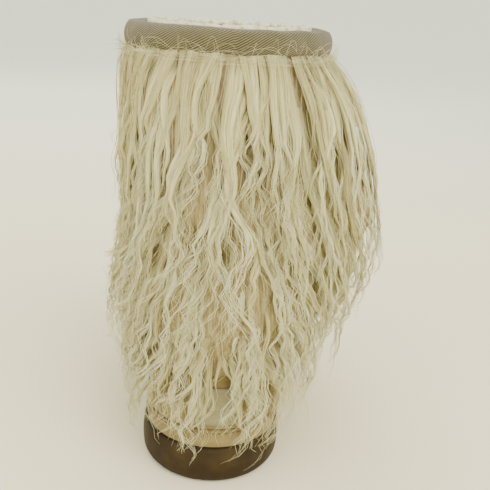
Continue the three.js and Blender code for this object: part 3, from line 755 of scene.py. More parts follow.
def outsole():
    """The moulded sole: a bulged side, a bevel at the floor and grooves across its tread."""
    count = 320
    rounds = np.arange(count) / count
    foot = face_ring(0, rounds)
    flat = flat_outward(rounds)

    def level(share, stand):
        """A ring at a share of the sole's thickness, some millimetres out from the upper."""
        points = foot + flat * stand
        points[:, 2] = mix(tread_at(points[:, 1]), sole_top_at(points[:, 1]), share)
        return points

    side = [
        (0.0, FLANGE - TREAD_BEVEL),
        (0.02, FLANGE - 0.75 * TREAD_BEVEL),
        (0.06, FLANGE - 0.4 * TREAD_BEVEL),
        (0.12, FLANGE - 0.1 * TREAD_BEVEL),
        (0.2, FLANGE + 0.45 * SIDE_SWELL),
        (0.32, FLANGE + 0.8 * SIDE_SWELL),
        (0.48, FLANGE + SIDE_SWELL),
        (0.64, FLANGE + 0.95 * SIDE_SWELL),
        (0.8, FLANGE + 0.7 * SIDE_SWELL),
        (0.92, FLANGE + 0.35 * SIDE_SWELL),
        (0.975, FLANGE),
        (1.0, FLANGE - 0.7),
        (1.0, FLANGE - 2.2),
    ]
    rings = np.stack([level(*row) for row in side])
    half = count // 2
    across = 19
    shares = (1 - np.cos(np.linspace(0, math.pi, across))) / 2

    def deck(ring, grooved):
        """The flat face inside a ring, as rows that join its two sides."""
        right = ring[1:half]
        left = ring[count - 1 : half : -1]
        rows = right[:, None] + (left - right)[:, None] * shares[None, :, None]
        if grooved:
            edge = np.minimum(shares, 1 - shares) * np.linalg.norm(left - right, axis=-1)[:, None]
            y = rows[..., 1]
            phase = (HEEL_CENTRE - 1.5 * GROOVE_PITCH - y) / GROOVE_PITCH
            off = np.abs(phase - np.round(phase)) * GROOVE_PITCH
            share = (HEEL_CENTRE - y) / SOLE_LENGTH
            used = (phase > -0.5) & ((share < HEEL_GROOVES_END) | (share > BALL_GROOVES_START))
            used &= share < BALL_GROOVES_END
            groove = (1 - ease(0.75, 1.25, off / (GROOVE_WIDTH / 2))) * ease(0.6, 1.1, edge / GROOVE_BORDER)
            rows[..., 2] += GROOVE_DEPTH * groove * used
        return rows

    points = [rings.reshape(-1, 3)]
    number = np.arange(rings.shape[0] * count).reshape(rings.shape[0], count)
    faces = grid_faces(number, True)
    for ring_index, grooved in ((0, True), (len(side) - 1, False)):
        rows = deck(rings[ring_index], grooved)
        base = sum(len(p) for p in points)
        inside = np.arange(rows.shape[0] * (across - 2)).reshape(rows.shape[0], across - 2) + base
        points.append(rows[:, 1:-1].reshape(-1, 3))
        ring = number[ring_index]
        grid = np.concatenate([ring[1:half, None], inside, ring[count - 1 : half : -1, None]], axis=1)
        made = grid_faces(grid, False)
        for end, row in ((ring[0], grid[0]), (ring[half], grid[-1][::-1])):
            made += [(int(end), int(row[k]), int(row[k + 1])) for k in range(across - 1)]
        faces += made if grooved else [face[::-1] for face in made]
    return mesh_object("outsole_foam", np.concatenate(points), faces, FOAM_FINISH)


# Creases of the upper, each a soft trough: the round and the height where it lies, how far it reaches along
# the rounds and up the heights, how it leans, and its depth in millimetres. A negative depth is a ridge.
CREASES = [
    (0.5, 0.205, 0.075, 0.014, 0.0, 1.5),
    (0.455, 0.19, 0.03, 0.014, 0.35, 1.3),
    (0.55, 0.188, 0.032, 0.013, -0.4, 1.4),
    (0.5, 0.226, 0.06, 0.012, 0.05, -0.9),
    (0.5, 0.255, 0.085, 0.016, -0.03, 1.7),
    (0.41, 0.225, 0.035, 0.018, 0.6, 1.2),
    (0.6, 0.22, 0.035, 0.018, -0.55, 1.4),
    (0.37, 0.15, 0.04, 0.02, 0.25, 1.7),
    (0.65, 0.14, 0.045, 0.02, -0.3, 1.9),
    (0.4, 0.185, 0.03, 0.013, 0.4, -1.0),
    (0.61, 0.18, 0.03, 0.013, -0.45, -1.1),
    (0.47, 0.168, 0.045, 0.02, 0.1, 1.3),
    (0.545, 0.15, 0.03, 0.022, -0.2, 1.0),
    (0.33, 0.1, 0.035, 0.016, 0.1, 1.2),
    (0.69, 0.1, 0.04, 0.016, -0.1, 1.3),
    (0.28, 0.2, 0.05, 0.025, 0.5, 1.2),
    (0.73, 0.2, 0.05, 0.025, -0.5, 1.2),
    (0.5, 0.3, 0.09, 0.02, 0.02, 1.6),
]


def creased(rounds, heights):
    """How far the creases move the suede in or out at each place."""
    rounds, heights = np.broadcast_arrays(rounds, heights)
    total = 0.45 * lumps(5, 9, (rounds, 60), (heights, 34)) * ease(0.02, 0.12, heights)
    for place, height, wide, tall, lean, deep in CREASES:
        aside = (rounds - place + 0.5) % 1 - 0.5
        up = heights - height - lean * aside
        total = total - deep * np.exp(-((aside / wide) ** 2) - (up / tall) ** 2)
    return total


def skin():
    """The sheepskin's suede side, creased over the foot, as thick as the leather alone."""
    rounds = np.arange(176) / 176
    heights = np.concatenate([np.linspace(0, 0.4, 64), np.linspace(0.45, 1, 10)])
    grid_r, grid_h = np.meshgrid(rounds, heights)
    outer = stand_off(grid_r, grid_h, creased(grid_r, grid_h))
    back_r, back_h = np.meshgrid(rounds, np.linspace(1, 0, 16))
    inner = stand_off(back_r, back_h, creased(back_r, back_h) - LEATHER)
    return hoop("suede_upper", np.concatenate([outer, inner]), SUEDE_FINISH)


# The lining's woolly roll inside the rim, as rows of how far it rises over the rim and stands off the upper
ROLL = [(0.4, -13.6), (1.9, -12.6), (2.6, -11.3), (2.5, -10.1), (1.4, -9.1)]
ROLL_FOOT = (-8, -8.6)
ROLL_FULLNESS = 5
# How far below the rim the lining starts to thicken, and where it is thickest
ROLL_START = 26
ROLL_END = 7


def lining():
    """The wool side of the sheepskin, with a thick uneven roll that hides the tape's inner edge."""
    rounds = np.arange(200) / 200
    roll = ease(1 - ROLL_START / LEG, 1 - ROLL_END / LEG, np.linspace(0, 1, 60))
    grid_r, grid_h = np.meshgrid(rounds, np.linspace(0.006, 1, 60))
    outer = stand_off(grid_r, grid_h, np.minimum(creased(grid_r, grid_h), 0) - LEATHER - GAP)[::5]
    tufted = 0.6 * lumps(3, 14, (grid_r, 260), (grid_h, 90))
    tufted = tufted + 0.5 * lumps(4, 12, (grid_r, 520), (grid_h, 210))
    inner = stand_off(grid_r, grid_h, -WALL + tufted - ROLL_FULLNESS * roll[:, None])
    crown = []
    for k, (lift, stand) in enumerate(ROLL):
        bumpy = 0.55 * lumps(8, 12, (rounds, 420), (k, 2.5)) + 0.45 * lumps(9, 9, (rounds, 150), (k, 1.5))
        crown.append(stand_off(rounds, 1 + (lift + 0.6 * bumpy) / LEG, stand + bumpy))
    crown.append(stand_off(rounds, 1 + ROLL_FOOT[0] / LEG, np.full_like(rounds, ROLL_FOOT[1])))
    rows = np.concatenate([outer, np.stack(crown[::-1]), inner[::-1]])
    return hoop("wool_lining", rows, SHORN_FINISH)


# The insole's section, as its share of the way out to its edge and its lift
INSOLE_PROFILE = [
    (1.0, 0.0),
    (1.0, 2.5),
    (0.985, 4.6),
    (0.95, 5.8),
    (0.85, 6.2),
    (0.7, 6.3),
    (0.5, 6.3),
    (0.3, 6.3),
    (0.1, 6.3),
]


def footbed():
    """The sheepskin insole, with a rounded, uneven woolly top."""
    count = 220
    rounds = np.arange(count) / count
    foot = face_ring(0, rounds)
    outline = foot - flat_outward(rounds) * (WALL + 3 * SEAM_GAP)
    centre = np.stack([outline[:, 0] * 0 + outline[:, 0].mean(), outline[:, 1], outline[:, 2]], axis=-1)
    rows = []
    for share, lift in INSOLE_PROFILE:
        points = centre + (outline - centre) * share
        wool = 0.5 * lumps(14, 12, (points[:, 0], 0.9), (points[:, 1], 0.5)) * ease(4, 6, lift)
        points[:, 2] = sole_top_at(points[:, 1]) + GAP + lift + wool
        rows.append(points)
    number = np.arange(len(rows) * count).reshape(len(rows), count)
    faces = grid_faces(number, True)
    half = count // 2
    for ring, flipped in ((number[0], True), (number[-1], False)):
        right, left = ring[: half + 1], np.concatenate([ring[:1], ring[: half - 1 : -1]])
        corners = np.stack([right[:-1], left[:-1], left[1:], right[1:]], axis=-1).tolist()
        made = [tuple(dict.fromkeys(face)) for face in corners]
        faces += [face[::-1] if flipped else face for face in made if len(face) > 2]
    return mesh_object("wool_insole", np.concatenate(rows), faces, SHORN_FINISH)


def padded_edge(count, edge, low=0.35):
    """How thick a cut piece is from edge to edge: full inside, with a rounded cut at both ends."""
    place = np.linspace(0, 1, count)
    near = np.minimum(place, 1 - place) / edge
    return low + (1 - low) * np.sqrt(1 - (1 - np.clip(near, 0, 1)) ** 2)


def foot_rand():
    """The suede band round the foot, thinner at its cut edges."""
    rounds = np.arange(320) / 320
    places = np.concatenate([[0, 0.03, 0.08, 0.16], np.linspace(0.28, 0.78, 6), [0.88, 0.94, 0.98, 1]])
    top = RAND_HEIGHT / LEG
    turn = 2 * math.pi * rounds
    rise = 0.35 * lumps(21, 7, (np.cos(turn), 9), (np.sin(turn), 9))
    grid_r, grid_p = np.meshgrid(rounds, places)
    heights = mix(GAP / LEG, top + rise[None] * 0.3 / LEG, grid_p)
    near = np.clip(np.minimum(grid_p, 1 - grid_p) / 0.12, 0, 1)
    thick = SUEDE * (0.3 + 0.7 * np.sqrt(1 - (1 - near) ** 2))
    sunk = 0.35 * np.exp(-(((grid_p - RAND_SEAM) / 0.06) ** 2))
    outer = stand_off(grid_r, heights, GAP + thick - sunk + 0.12 * lumps(22, 8, (grid_r, 130), (grid_p, 5)))
    inner = stand_off(grid_r, heights, np.full_like(heights, GAP))[::-1]
    return hoop("suede_rand", np.concatenate([outer, inner[:: len(places) - 1]]), SUEDE_FINISH)


RAND_LINE = stand_off(np.linspace(0, 1, 241), np.full(241, RAND_HEIGHT / LEG), np.zeros(241))
FOOT_GIRTH = float(np.linalg.norm(np.diff(RAND_LINE, axis=0), axis=1).sum())
COUNTER_LOW = (RAND_HEIGHT + SEAM_GAP) / LEG


def counter_top(share):
    """The height of the counter's upper edge, by share of the way from its middle to its side."""
    return COUNTER_LOW + (COUNTER_HEIGHT / LEG) * (1 - 0.62 * share**4 - 0.2 * share**2)


def heel_counter():
    """The suede patch over the heel."""
    shares = np.linspace(-1, 1, 91)
    places = np.linspace(0, 1, 37)
    grid_s, grid_p = np.meshgrid(shares, places)
    rounds = grid_s / 2 * COUNTER_WIDTH / FOOT_GIRTH
    heights = mix(COUNTER_LOW, counter_top(grid_s), grid_p)
    thick = SUEDE * padded_edge(91, 0.016)[None, :] * padded_edge(37, 0.04)[:, None]
    wave = 0.25 * lumps(31, 8, (grid_s, 9), (grid_p, 8))
    outer = stand_off(rounds, heights, GAP + thick + wave * (thick / SUEDE))
    inner = stand_off(rounds, heights, np.full_like(heights, GAP))
    return slab("suede_counter", outer, inner, SUEDE_FINISH)


def heel_label():
    """The small label on the heel, blank, with a pressed border and rounded corners."""
    grid_s, grid_p = np.meshgrid(np.linspace(-1, 1, 37), np.linspace(0, 1, 29))
    half_high, half_wide, corner = LABEL_HEIGHT / 2, LABEL_WIDTH / 2, LABEL_CORNER
    up_mm = (grid_p - 0.5) * LABEL_HEIGHT
    side_mm = grid_s * half_wide
    over = np.clip(np.abs(up_mm) - (half_high - corner), 0, None)
    side_mm *= (half_wide - corner + np.sqrt(np.clip(corner**2 - over**2, 0, None))) / half_wide
    rounds = side_mm / FOOT_GIRTH
    heights = (LABEL_RISE + grid_p * LABEL_HEIGHT) / LEG
    thick = LABEL_THICKNESS * padded_edge(37, 0.04)[None, :] * padded_edge(29, 0.05)[:, None]
    edge = np.minimum(np.minimum(grid_p, 1 - grid_p) * LABEL_HEIGHT, (1 - np.abs(grid_s)) * half_wide)
    pressed = 0.35 * np.exp(-(((edge - LABEL_BORDER) / 0.5) ** 2))
    base = 2 * GAP + SUEDE
    outer = stand_off(rounds, heights, base + thick - pressed)
    inner = stand_off(rounds, heights, np.full_like(heights, base))
    return slab("blank_label", outer, inner, LABEL_FINISH)


def rand_seam():
    """The stitches along the rand, just below its upper edge."""
    rounds = np.arange(0, 1, STITCH_PITCH / FOOT_GIRTH)
    heights = np.full_like(rounds, RAND_SEAM * RAND_HEIGHT / LEG)
    return stitches("rand_stitches", rounds, heights, GAP + SUEDE - 0.15)


def counter_seam():
    """The stitches along the counter's upper edge, a little in from it."""
    shares = np.linspace(-0.97, 0.97, 34)
    rounds = shares / 2 * COUNTER_WIDTH / FOOT_GIRTH
    heights = counter_top(shares) - COUNTER_SEAM_INSET / LEG
    return stitches("counter_stitches", rounds, heights, GAP + SUEDE + 0.05)


def collar_tape():
    """The folded twill that binds the rim, puckered along its sewn edge, with a map for its weave."""
    around = 480
    rounds = np.arange(around) / around
    out, within = GAP, -WALL - GAP
    section = [
        (out + 0.15, -TAPE_DROP + 0.3),
        (out + 0.35 * TAPE_FULLNESS, -TAPE_DROP),
        (out + 0.7 * TAPE_FULLNESS, -TAPE_DROP + 0.6),
        (out + 0.9 * TAPE_FULLNESS, -TAPE_DROP + 2),
        (out + TAPE_FULLNESS, -0.66 * TAPE_DROP),
        (out + 1.04 * TAPE_FULLNESS, -0.5 * TAPE_DROP),
        (out + TAPE_FULLNESS, -0.33 * TAPE_DROP),
        (out + 0.87 * TAPE_FULLNESS, -0.17 * TAPE_DROP),
        (out + 0.62 * TAPE_FULLNESS, -0.02 * TAPE_DROP),
        (out + 0.3 * TAPE_FULLNESS, GAP + 0.6 * TAPE),
        (-1.5, GAP + 0.9 * TAPE),
        (-WALL / 2, GAP + TAPE),
        (-WALL + 1.2, GAP + 0.85 * TAPE),
        (within - 0.5 * TAPE, GAP + 0.35 * TAPE),
        (within - 0.9 * TAPE, -1.2),
        (within - TAPE, -0.5 * TAPE_INSIDE_DROP),
        (within - 0.7 * TAPE, -0.85 * TAPE_INSIDE_DROP),
        (within - 0.1, -TAPE_INSIDE_DROP),
        (within, GAP),
        (out, GAP),
        (out, -TAPE_DROP + 0.5),
    ]
    turn = 2 * math.pi * rounds
    pucker = lumps(41, 9, (np.cos(turn), 26), (np.sin(turn), 26))
    waves = lumps(43, 5, (np.cos(turn), 11), (np.sin(turn), 11))
    rows = []
    for stand, lift in section:
        low = ease(0, 1, -lift / TAPE_DROP)
        outer_side = stand > out
        soft = (0.35 * pucker + 0.3 * waves) * outer_side
        drop = 0.5 * low * np.roll(pucker, 17) * outer_side - 0.35 * (1 + waves)
        rows.append(stand_off(rounds, 1 + (lift + drop) / LEG, stand + soft))
    tape = hoop("collar_binding", rows, TWILL_FINISH)
    run = np.concatenate([[0], np.cumsum(np.hypot(*np.diff(np.array(section), axis=0).T))])
    girth = np.linalg.norm(np.diff(np.array(rows[4]), axis=0), axis=1).sum()
    layer = tape.data.uv_layers.new(name="strip")
    corners = np.empty(len(tape.data.loops), np.int32)
    tape.data.loops.foreach_get("vertex_index", corners)
    ring = (corners // around).reshape(-1, 4)
    place = (corners % around).reshape(-1, 4)
    past = (place == 0) & (place.max(axis=1, keepdims=True) > around / 2)
    along_mm = (place + past * around) / around * girth
    closing = (ring == 0) & (ring.max(axis=1, keepdims=True) > 2)
    across_mm = np.where(closing, run[-1] + 3, run[ring])
    layer.data.foreach_set("uv", np.stack([along_mm, across_mm], axis=-1).astype(np.float32).ravel())
    return tape


def underwool():
    """The dense lower coat, half as deep as the locks, that shows dark between them."""
    around = 210
    rounds = np.arange(around) / around
    top = 1 - (TAPE_DROP - UNDERWOOL_TUCK) / LEG
    hem = by_side(rounds, FLEECE_HEM)
    rows = []
    rises = []
    for share in np.linspace(1, 0, 44):
        heights = mix(top, hem, share)
        broad = 0.16 * lumps(51, 10, (rounds, 150), (share, 9))
        ridge = 1 + broad + 0.12 * lumps(52, 8, (rounds, 420), (share, 16))
        taper = 1 - 0.85 * ease(0.8, 1, share)
        full = mix(0.52, 0.72, ease(0.45, 0.75, heights)) * (1 - np.exp(-(top - heights) * LEG / 18))
        stand = np.maximum(full * fleece_stand(rounds, heights) * ridge * taper, 0.9)
        rows.append(stand_off(rounds, heights, stand))
        rises.append(heights)
    for share in np.linspace(0, 1, 9):
        heights = mix(top, hem, share)
        rows.append(stand_off(rounds, heights, np.full(around, 0.4)))
        rises.append(heights)
    obj = hoop("underwool", rows, UNDERWOOL_FINISH)
    mark(obj, "rise", np.concatenate(rises))
    return obj


# Where the locks are rooted and how far they hang clear of the leather and the floor, in millimetres
CLEAR_OF_SUEDE = 2 * GAP + SUEDE + LABEL_THICKNESS + 1.2
CLEAR_OF_SKIN = 0.8
CLEAR_OF_FLOOR = 4.5
ROOT_TUCK = 1.6
# The parting through which the label shows: its place and width as rounds, and how far up it lifts the tips
PARTING = {"round": -0.008, "wide": 0.006, "lift": 0.15}


def rows_of_locks(rng, roots, count, lengths, fullness, stray=1.0):
    """Rows of locks that overlap, each with its round, root, tip, depth, place in the coat and drift."""
    top = 1 - (TAPE_DROP - ROOT_TUCK) / LEG
    rows = []
    for root in roots:
        around = (np.arange(count) + rng.uniform(-0.42, 0.42, count)) / count + rng.uniform()
        height = mix(by_side(around, FLEECE_HEM), top, root) + rng.normal(0, 0.01, count)
        full = rng.uniform(*fullness, count)
        outermost = ease(*fullness, full)
        limit = mix(by_side(around, LOW_TIPS), by_side(around, OUTER_TIPS), outermost)
        aside = (around - PARTING["round"] + 0.5) % 1 - 0.5
        limit = limit + PARTING["lift"] * np.exp(-((aside / PARTING["wide"]) ** 2))
        hanging = height - rng.uniform(*lengths, count) / LEG
        tip = np.maximum(hanging, limit + rng.uniform(0, 0.08, count))
        drift = 5 * np.cos(2 * math.pi * around) + stray * rng.normal(0, 7.5, count)
        rows.append([around, np.minimum(height, top), tip, full, np.full(count, root), drift])
    return np.concatenate([np.stack(row, axis=-1) for row in rows])


def plan_tufts(rng, locks, tufts, curl=1.0, stray=1.0, wide=1.0):
    """Splits each lock into tufts: a column of values for each, such as its sway, curl, width and tone."""
    total = len(locks)
    shared = dict(zip(("round", "height", "tip", "full", "root", "drift"), locks.T))
    shared["quick"] = mix(30, 9, ease(0.75, 1, shared["root"]))
    shared["sway"] = stray * rng.uniform(2.5, 7, total)
    shared["sway_phase"] = rng.uniform(0, 2 * math.pi, total)
    shared["sway_wave"] = rng.uniform(9, 16, total)
    shared["lock_tone"] = rng.normal(0, 0.09, total)
    plan = {name: np.repeat(values, tufts)[:, None] for name, values in shared.items()}
    shape = (total * tufts, 1)
    place = np.tile(np.arange(tufts) - (tufts - 1) / 2, total)[:, None]
    plan["root_side"] = place * 3.4 + rng.normal(0, 1, shape)
    plan["side"] = rng.normal(0, 2.1, shape)
    plan["out"] = rng.normal(0, 1.3, shape)
    plan["part"] = stray * rng.normal(0, 3.5, shape)
    plan["phase"] = rng.uniform(0, 2 * math.pi, shape)
    plan["wave"] = rng.uniform(12, 23, shape)
    plan["curl"] = curl * rng.uniform(0.4, 1.3, shape)
    plan["reach"] = 1 - rng.uniform(0, 0.2, shape)
    plan["wide"] = wide * rng.uniform(0.7, 1.25, shape)
    plan["tone"] = 0.53 + plan["lock_tone"] + rng.normal(0, 0.05, shape)
    return plan


def tuft_width(plan, s):
    """Half the width of a tuft along its length: combed flat at the root, pointed at the tip."""
    return plan["wide"] * mix(2.8, 2.2, ease(0, 0.4, s)) * (1 - 0.97 * ease(0.2, 0.78, s)) + 0.07


def tuft_line(plan, s, side=0, out=0, turn=0):
    """Where the hair lies at shares of its length: its height, and how far aside, out and down it is."""
    height = mix(plan["height"], plan["tip"], s * plan["reach"])
    down = (plan["height"] - height) * LEG
    gather = ease(0, 0.45, s)
    across = mix(plan["root_side"], plan["side"], gather) + plan["part"] * s**2 + plan["drift"] * s
    far = np.hypot(down, plan["drift"] * s)
    across = across + plan["sway"] * (0.4 + 0.8 * s) * np.sin(plan["sway_phase"] + far / plan["sway_wave"])
    swing = plan["curl"] * plan["wave"] / 7.5 * ease(0.2, 0.8, s)
    angle = plan["phase"] + turn + 2 * math.pi * far / plan["wave"]
    rise = 1 - np.exp(-far / plan["quick"])
    lift = 0.7 + plan["full"] * rise * fleece_stand(plan["round"], height) + plan["out"] * gather
    return height, across + swing * np.sin(angle) + side, lift + 0.6 * swing * np.cos(angle) + out, down


def laid(plan, height, across, lift, over=0):
    """Points in space for hair at these heights, kept clear of the leather and of the floor."""
    around = plan["round"][..., None] if height.ndim == 3 else plan["round"]
    nearest = np.where(height < by_side(around, FLEECE_HEM), CLEAR_OF_SUEDE, CLEAR_OF_SKIN) + over
    points = stand_off(around, height, np.maximum(lift, nearest))
    points = points + look_up(ONWARD, around, height) * across[..., None]
    points[..., 2] = np.maximum(points[..., 2], CLEAR_OF_FLOOR)
    return points


def tuft_tone(tone, s, down):
    """A tuft's tone along its length: darker at its root and lighter at its tip."""
    return tone + 0.16 * ease(0.05, 0.9, s) - 0.1 * (1 - ease(0, 40, down))


def tuft_bodies(name, rng, plan, steps=20, sides=5):
    """The body of each tuft: a closed wavy ribbon, thick in the middle and pointed at its tip."""
    total = len(plan["round"])
    s = np.linspace(0, 1, steps)[None, :] ** 0.8
    height, across, lift, down = tuft_line(plan, s)
    angle = 2 * math.pi * np.arange(sides) / sides + rng.uniform(0, 2 * math.pi, (total, 1, 1))
    uneven = 1 + 0.2 * np.sin(rng.uniform(0, 2 * math.pi, (total, 1, 1)) + down[..., None] / 6 + 2 * angle)
    wide = tuft_width(plan, s)[..., None] * uneven
    thick = 0.6 * wide * mix(0.25, 1, ease(0, 8, down))[..., None]
    over = 0.35 * (1 + np.sin(angle)) * np.minimum(thick, 1)
    ring_height = np.broadcast_to(height[..., None], wide.shape)
    aside = across[..., None] + wide * np.cos(angle)
    points = laid(plan, ring_height, aside, lift[..., None] + thick * np.sin(angle), over)
    number = np.arange(total * steps * sides).reshape(total, steps, sides)
    onward = np.roll(number, -1, axis=2)
    quads = np.stack([number[:, 1:], onward[:, 1:], onward[:, :-1], number[:, :-1]], axis=-1)
    faces = quads.reshape(-1, 4).tolist() + number[:, 0].tolist() + number[:, -1, ::-1].tolist()
    obj = mesh_object(name, points, faces, COMBED_FINISH)
    tone = tuft_tone(plan["tone"], s, down)
    mark(obj, "tone", np.broadcast_to(tone[..., None], wide.shape))
    level = np.zeros_like(wide)
    across_fibres = 2.4 * np.cos(angle) + level + rng.uniform(0, 400, (total, 1, 1))
    fibre = np.stack([across_fibres, 1.8 * np.sin(angle) + level, 0.05 * down[..., None] + level], axis=-1)
    mark(obj, "fibre", fibre, "FLOAT_VECTOR")
    return obj


def tuft_hairs(rng, plan, each, steps, girth=0.14, loose=1.2):
    """Single thick hairs that run with each tuft, in and around its body."""
    hairs = {name: np.repeat(values, each, axis=0) for name, values in plan.items()}
    shape = (len(hairs["round"]), 1)
    hairs["reach"] = np.minimum(hairs["reach"] * rng.uniform(0.82, 1.12, shape), 1.08)
    hairs["curl"] = hairs["curl"] * rng.uniform(0.8, 1.35, shape)
    s = np.linspace(0, 1, steps)[None, :] ** 0.8
    wide = tuft_width(hairs, s) * loose
    side = wide * rng.normal(0, 0.75, shape) + rng.normal(0, 1.3 * loose, shape) * s**2
    out = wide * rng.normal(0.35, 0.5, shape) * ease(0, 0.1, s)
    height, across, lift, down = tuft_line(hairs, s, side, out, rng.normal(0, 0.4, shape))
    points = laid(hairs, height, across, lift, 0.3)
    tone = tuft_tone(hairs["tone"] + rng.normal(0.05, 0.09, shape), s, down)
    thick = rng.uniform(0.75, 1.25, shape) * mix(1.1, 0.9, s) * (1 - 0.7 * ease(0.8, 1, s)) * girth
    return points, thick, tone


def collar_hairs(rng, count, steps=8):
    """Stray hairs that loop up over the tape from just under it."""
    s = np.linspace(0, 1, steps)[None, :]
    shape = (count, 1)
    around = rng.uniform(0, 1, shape) + s * 0
    reach = 0.6 + 10 * rng.uniform(0, 1, shape) ** 3
    low = 1 - (TAPE_DROP + rng.uniform(1, 5, shape)) / LEG
    height = low + reach / LEG * np.sin(math.pi * np.minimum(s * rng.uniform(0.55, 1, shape), 1))
    lift = 3 + 3 * ease(0, 0.25, s) + rng.uniform(0, 1.6, shape) * s - 3 * ease(1.0, 1.03, height)
    across = rng.normal(-3, 12, shape) * s
    across = across + rng.uniform(0, 0.6, shape) * np.sin(9 * s + rng.uniform(0, 6, shape))
    points = stand_off(around, height, lift) + look_up(ONWARD, around, height) * across[..., None]
    thick = rng.uniform(0.04, 0.08, shape) * (1 - 0.4 * s)
    return points, thick, 0.75 + rng.normal(0, 0.1, shape) + s * 0


def pile(rng, count, steps=4):
    """Short fibres of the shorn lining, standing up inside the rim."""
    s = np.linspace(0, 1, steps)[None, :]
    shape = (count, 1)
    around = rng.uniform(0, 1, shape) + s * 0
    long = rng.uniform(1.5, 3.6, shape)
    lean = rng.uniform(-0.9, 1.5, shape)
    height = 1 + (rng.uniform(-1, 1.2, shape) + long * 0.75 * np.sin(1.3 * s)) / LEG
    lift = rng.uniform(-13.6, -9.3, shape) - lean * s**1.5
    points = stand_off(around, height, lift)
    points = points + look_up(ONWARD, around, height) * (rng.normal(0, 1.2, shape) * s)[..., None]
    return points, rng.uniform(0.18, 0.34, shape) * (1 - 0.7 * s), 0.7 + rng.normal(0, 0.1, shape) + s * 0


# The fleece's coats, from the skin outwards: root heights as shares from the hem to the tape, locks in each
# row, shortest and longest lock, and how far out they lie as a share of the coat. Then come the tufts to a
# lock, with their curl and width, and the hairs that run with each tuft.
COATS = {
    "under": {
        "locks": {
            "roots": [0.02, 0.12, 0.24, 0.36],
            "count": 32,
            "lengths": (55, 100),
            "fullness": (0.55, 0.85),
        },
        "tufts": {"tufts": 2, "curl": 1.1, "wide": 0.85},
        "hairs": 1,
    },
    "low": {
        "locks": {
            "roots": [0.08, 0.2, 0.32, 0.44],
            "count": 29,
            "lengths": (70, 122),
            "fullness": (0.68, 0.98),
        },
        "tufts": {"tufts": 3, "curl": 1.2, "wide": 0.75},
        "hairs": 4,
    },
    "middle": {
        "locks": {
            "roots": [0.54, 0.64, 0.74],
            "count": 42,
            "lengths": (75, 135),
            "fullness": (0.7, 1.0),
        },
        "tufts": {"tufts": 2, "curl": 1.1, "wide": 0.88},
        "hairs": 4,
    },
    "high": {
        "locks": {
            "roots": [0.83, 0.91, 0.97, 1.02],
            "count": 46,
            "lengths": (70, 155),
            "fullness": (0.72, 1.03),
        },
        "tufts": {"tufts": 2, "curl": 1.0, "wide": 0.92},
        "hairs": 5,
    },
}
STRAY_COAT = {
    "roots": [0.05, 0.2, 0.4, 0.6, 0.8, 1.0],
    "count": 24,
    "lengths": (50, 125),
    "fullness": (0.9, 1.1),
    "stray": 1.8,
}
HAIR_STEPS = 17
STRAY_STEPS = 14
FLEECE_SEED = 7
# Locks that were blown or brushed aside: round, root height, tip height, depth, place in the coat and drift.
SWEPT_LOCKS = [
    (0.1, 0.54, 0.47, 1.1, 0.6, 34),
    (0.11, 0.51, 0.46, 1.2, 0.6, 27),
    (0.12, 0.49, 0.42, 1.1, 0.6, 30),
    (0.09, 0.4, 0.27, 1.1, 0.4, 22),
    (0.15, 0.74, 0.56, 1.2, 0.8, 15),
    (0.9, 0.83, 0.6, 1.15, 0.85, 18),
    (0.97, 0.3, 0.1, 1.1, 0.4, -14),
    (0.06, 0.22, -0.02, 1.1, 0.3, 12),
    (0.35, 0.7, 0.5, 1.1, 0.7, 22),
    (0.62, 0.66, 0.48, 1.1, 0.7, -20),
    (0.67, 0.36, 0.1, 1.5, 0.4, -6),
    (0.73, 0.34, 0.07, 1.55, 0.4, 3),
    (0.78, 0.37, 0.05, 1.5, 0.4, -3),
    (0.83, 0.33, 0.04, 1.5, 0.4, 5),
    (0.012, 0.3, 0.03, 1.0, 0.4, 1),
    (0.974, 0.32, 0.02, 1.0, 0.4, 0),
]


# How far the floor reaches in millimetres, and where its tone changes from near to far in metres
FLOOR_REACH = 4e4
NEAR_FLOOR = -0.15
FAR_FLOOR = -1.6
LAMPS = [
    {"name": "key", "at": (-0.55, 0.9, 1.15), "size": 0.9, "watts": 17},
    {"name": "fill", "at": (0.9, 0.7, 0.7), "size": 1.0, "watts": 5},
    {"name": "front", "at": (0.3, -1.1, 1.0), "size": 1.2, "watts": 9},
]
LAMPS_AIM = Vector((0, -0.03, 0.12))


def pale_paper(name):
    """Smooth pale paper, warm near the boot and cooler far behind it."""
    material, tree, surface = finish_of(name)
    place = add(tree, "ShaderNodeTexCoord").outputs["Object"]
    away = add(tree, "ShaderNodeSeparateXYZ", {"Vector": place}).outputs["Y"]
    reach = {"Value": away, "From Min": NEAR_FLOOR, "From Max": FAR_FLOOR}
    far = add(tree, "ShaderNodeMapRange", reach)
    blend = {"Factor": far.outputs["Result"], "A": linear("#F4EBC8"), "B": linear("#F2F6E4")}
    colour = add(tree, "ShaderNodeMix", blend, data_type="RGBA")
    wire(surface, {"Base Color": colour.outputs["Result"], "Roughness": 0.9})
    return material


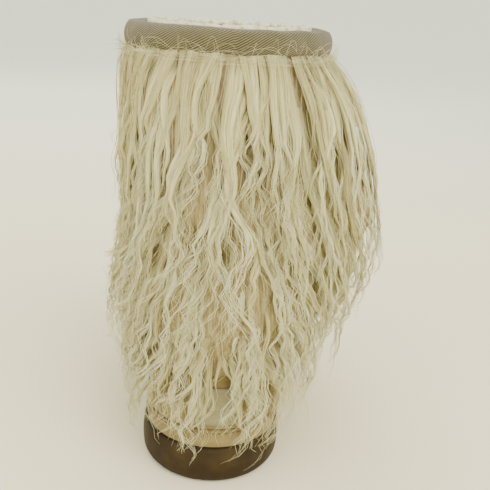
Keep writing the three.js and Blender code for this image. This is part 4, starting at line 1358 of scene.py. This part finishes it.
def stage():
    """A pale floor and a plain backdrop, lit by large soft lamps."""
    corners = [(FLOOR_REACH * x, FLOOR_REACH * y, 0) for x, y in ((-1, -1), (1, -1), (1, 1), (-1, 1))]
    ground = mesh_object("floor", corners, [(0, 1, 2, 3)], pale_paper("pale_paper"), smooth=False)
    world = bpy.data.worlds.new("studio")
    world.use_nodes = True
    wire(world.node_tree.nodes["Background"], {"Color": linear("#F3F3E8"), "Strength": 1.8})
    bpy.context.scene.world = world
    for lamp in LAMPS:
        data = bpy.data.lights.new(lamp["name"], "AREA")
        data.energy = lamp["watts"]
        data.size = lamp["size"]
        data.color = linear("#FFF9EE")[:3]
        obj = new_object(lamp["name"], data)
        place = Vector(lamp["at"])
        aim = LAMPS_AIM - place
        obj.matrix_world = Matrix.Translation(place) @ aim.to_track_quat("-Z", "Y").to_matrix().to_4x4()


camera()
stage()

# Every piece with its slot and the solids it takes the place of
pieces = [
    (outsole(), "foam_sole", ["outsole"]),
    (skin(), "suede", ["upper"]),
    (lining(), "lining_wool", ["upper"]),
    (footbed(), "lining_wool", ["insole"]),
    (foot_rand(), "suede", ["rand"]),
    (heel_counter(), "suede", ["heel_counter"]),
    (heel_label(), "label", ["heel_label"]),
    (collar_tape(), "tape", ["collar_tape"]),
    (underwool(), "fleece", ["fleece"]),
    (rand_seam(), "suede", []),
    (counter_seam(), "suede", []),
]
rng = np.random.default_rng(FLEECE_SEED)
for coat, settings in COATS.items():
    plan = plan_tufts(rng, rows_of_locks(rng, **settings["locks"]), **settings["tufts"])
    pieces.append((tuft_bodies(f"{coat}_locks", rng, plan), "fleece", ["fleece"]))
    hairs = tuft_hairs(rng, plan, settings["hairs"], HAIR_STEPS)
    pieces.append((strands(f"{coat}_hairs", *hairs), "fleece", ["fleece"]))
swept = plan_tufts(rng, np.array(SWEPT_LOCKS), 3, curl=1.1, stray=1.1, wide=0.5)
pieces.append((tuft_bodies("swept_locks", rng, swept), "fleece", ["fleece"]))
swept_hairs = tuft_hairs(rng, swept, 7, HAIR_STEPS, girth=0.13, loose=1.8)
pieces.append((strands("swept_hairs", *swept_hairs), "fleece", ["fleece"]))
strays = plan_tufts(rng, rows_of_locks(rng, **STRAY_COAT), 1, curl=1.4, stray=1.7)
stray_hairs = tuft_hairs(rng, strays, 4, STRAY_STEPS, girth=0.09, loose=1.8)
pieces.append((strands("stray_hairs", *stray_hairs), "fleece", []))
pieces.append((strands("collar_hairs", *collar_hairs(rng, 640)), "fleece", []))
pieces.append((strands("lining_pile", *pile(rng, 1000)), "lining_wool", []))

for piece, slot, nodes in pieces:
    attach(piece, BODY)
    if nodes:
        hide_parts(*nodes)
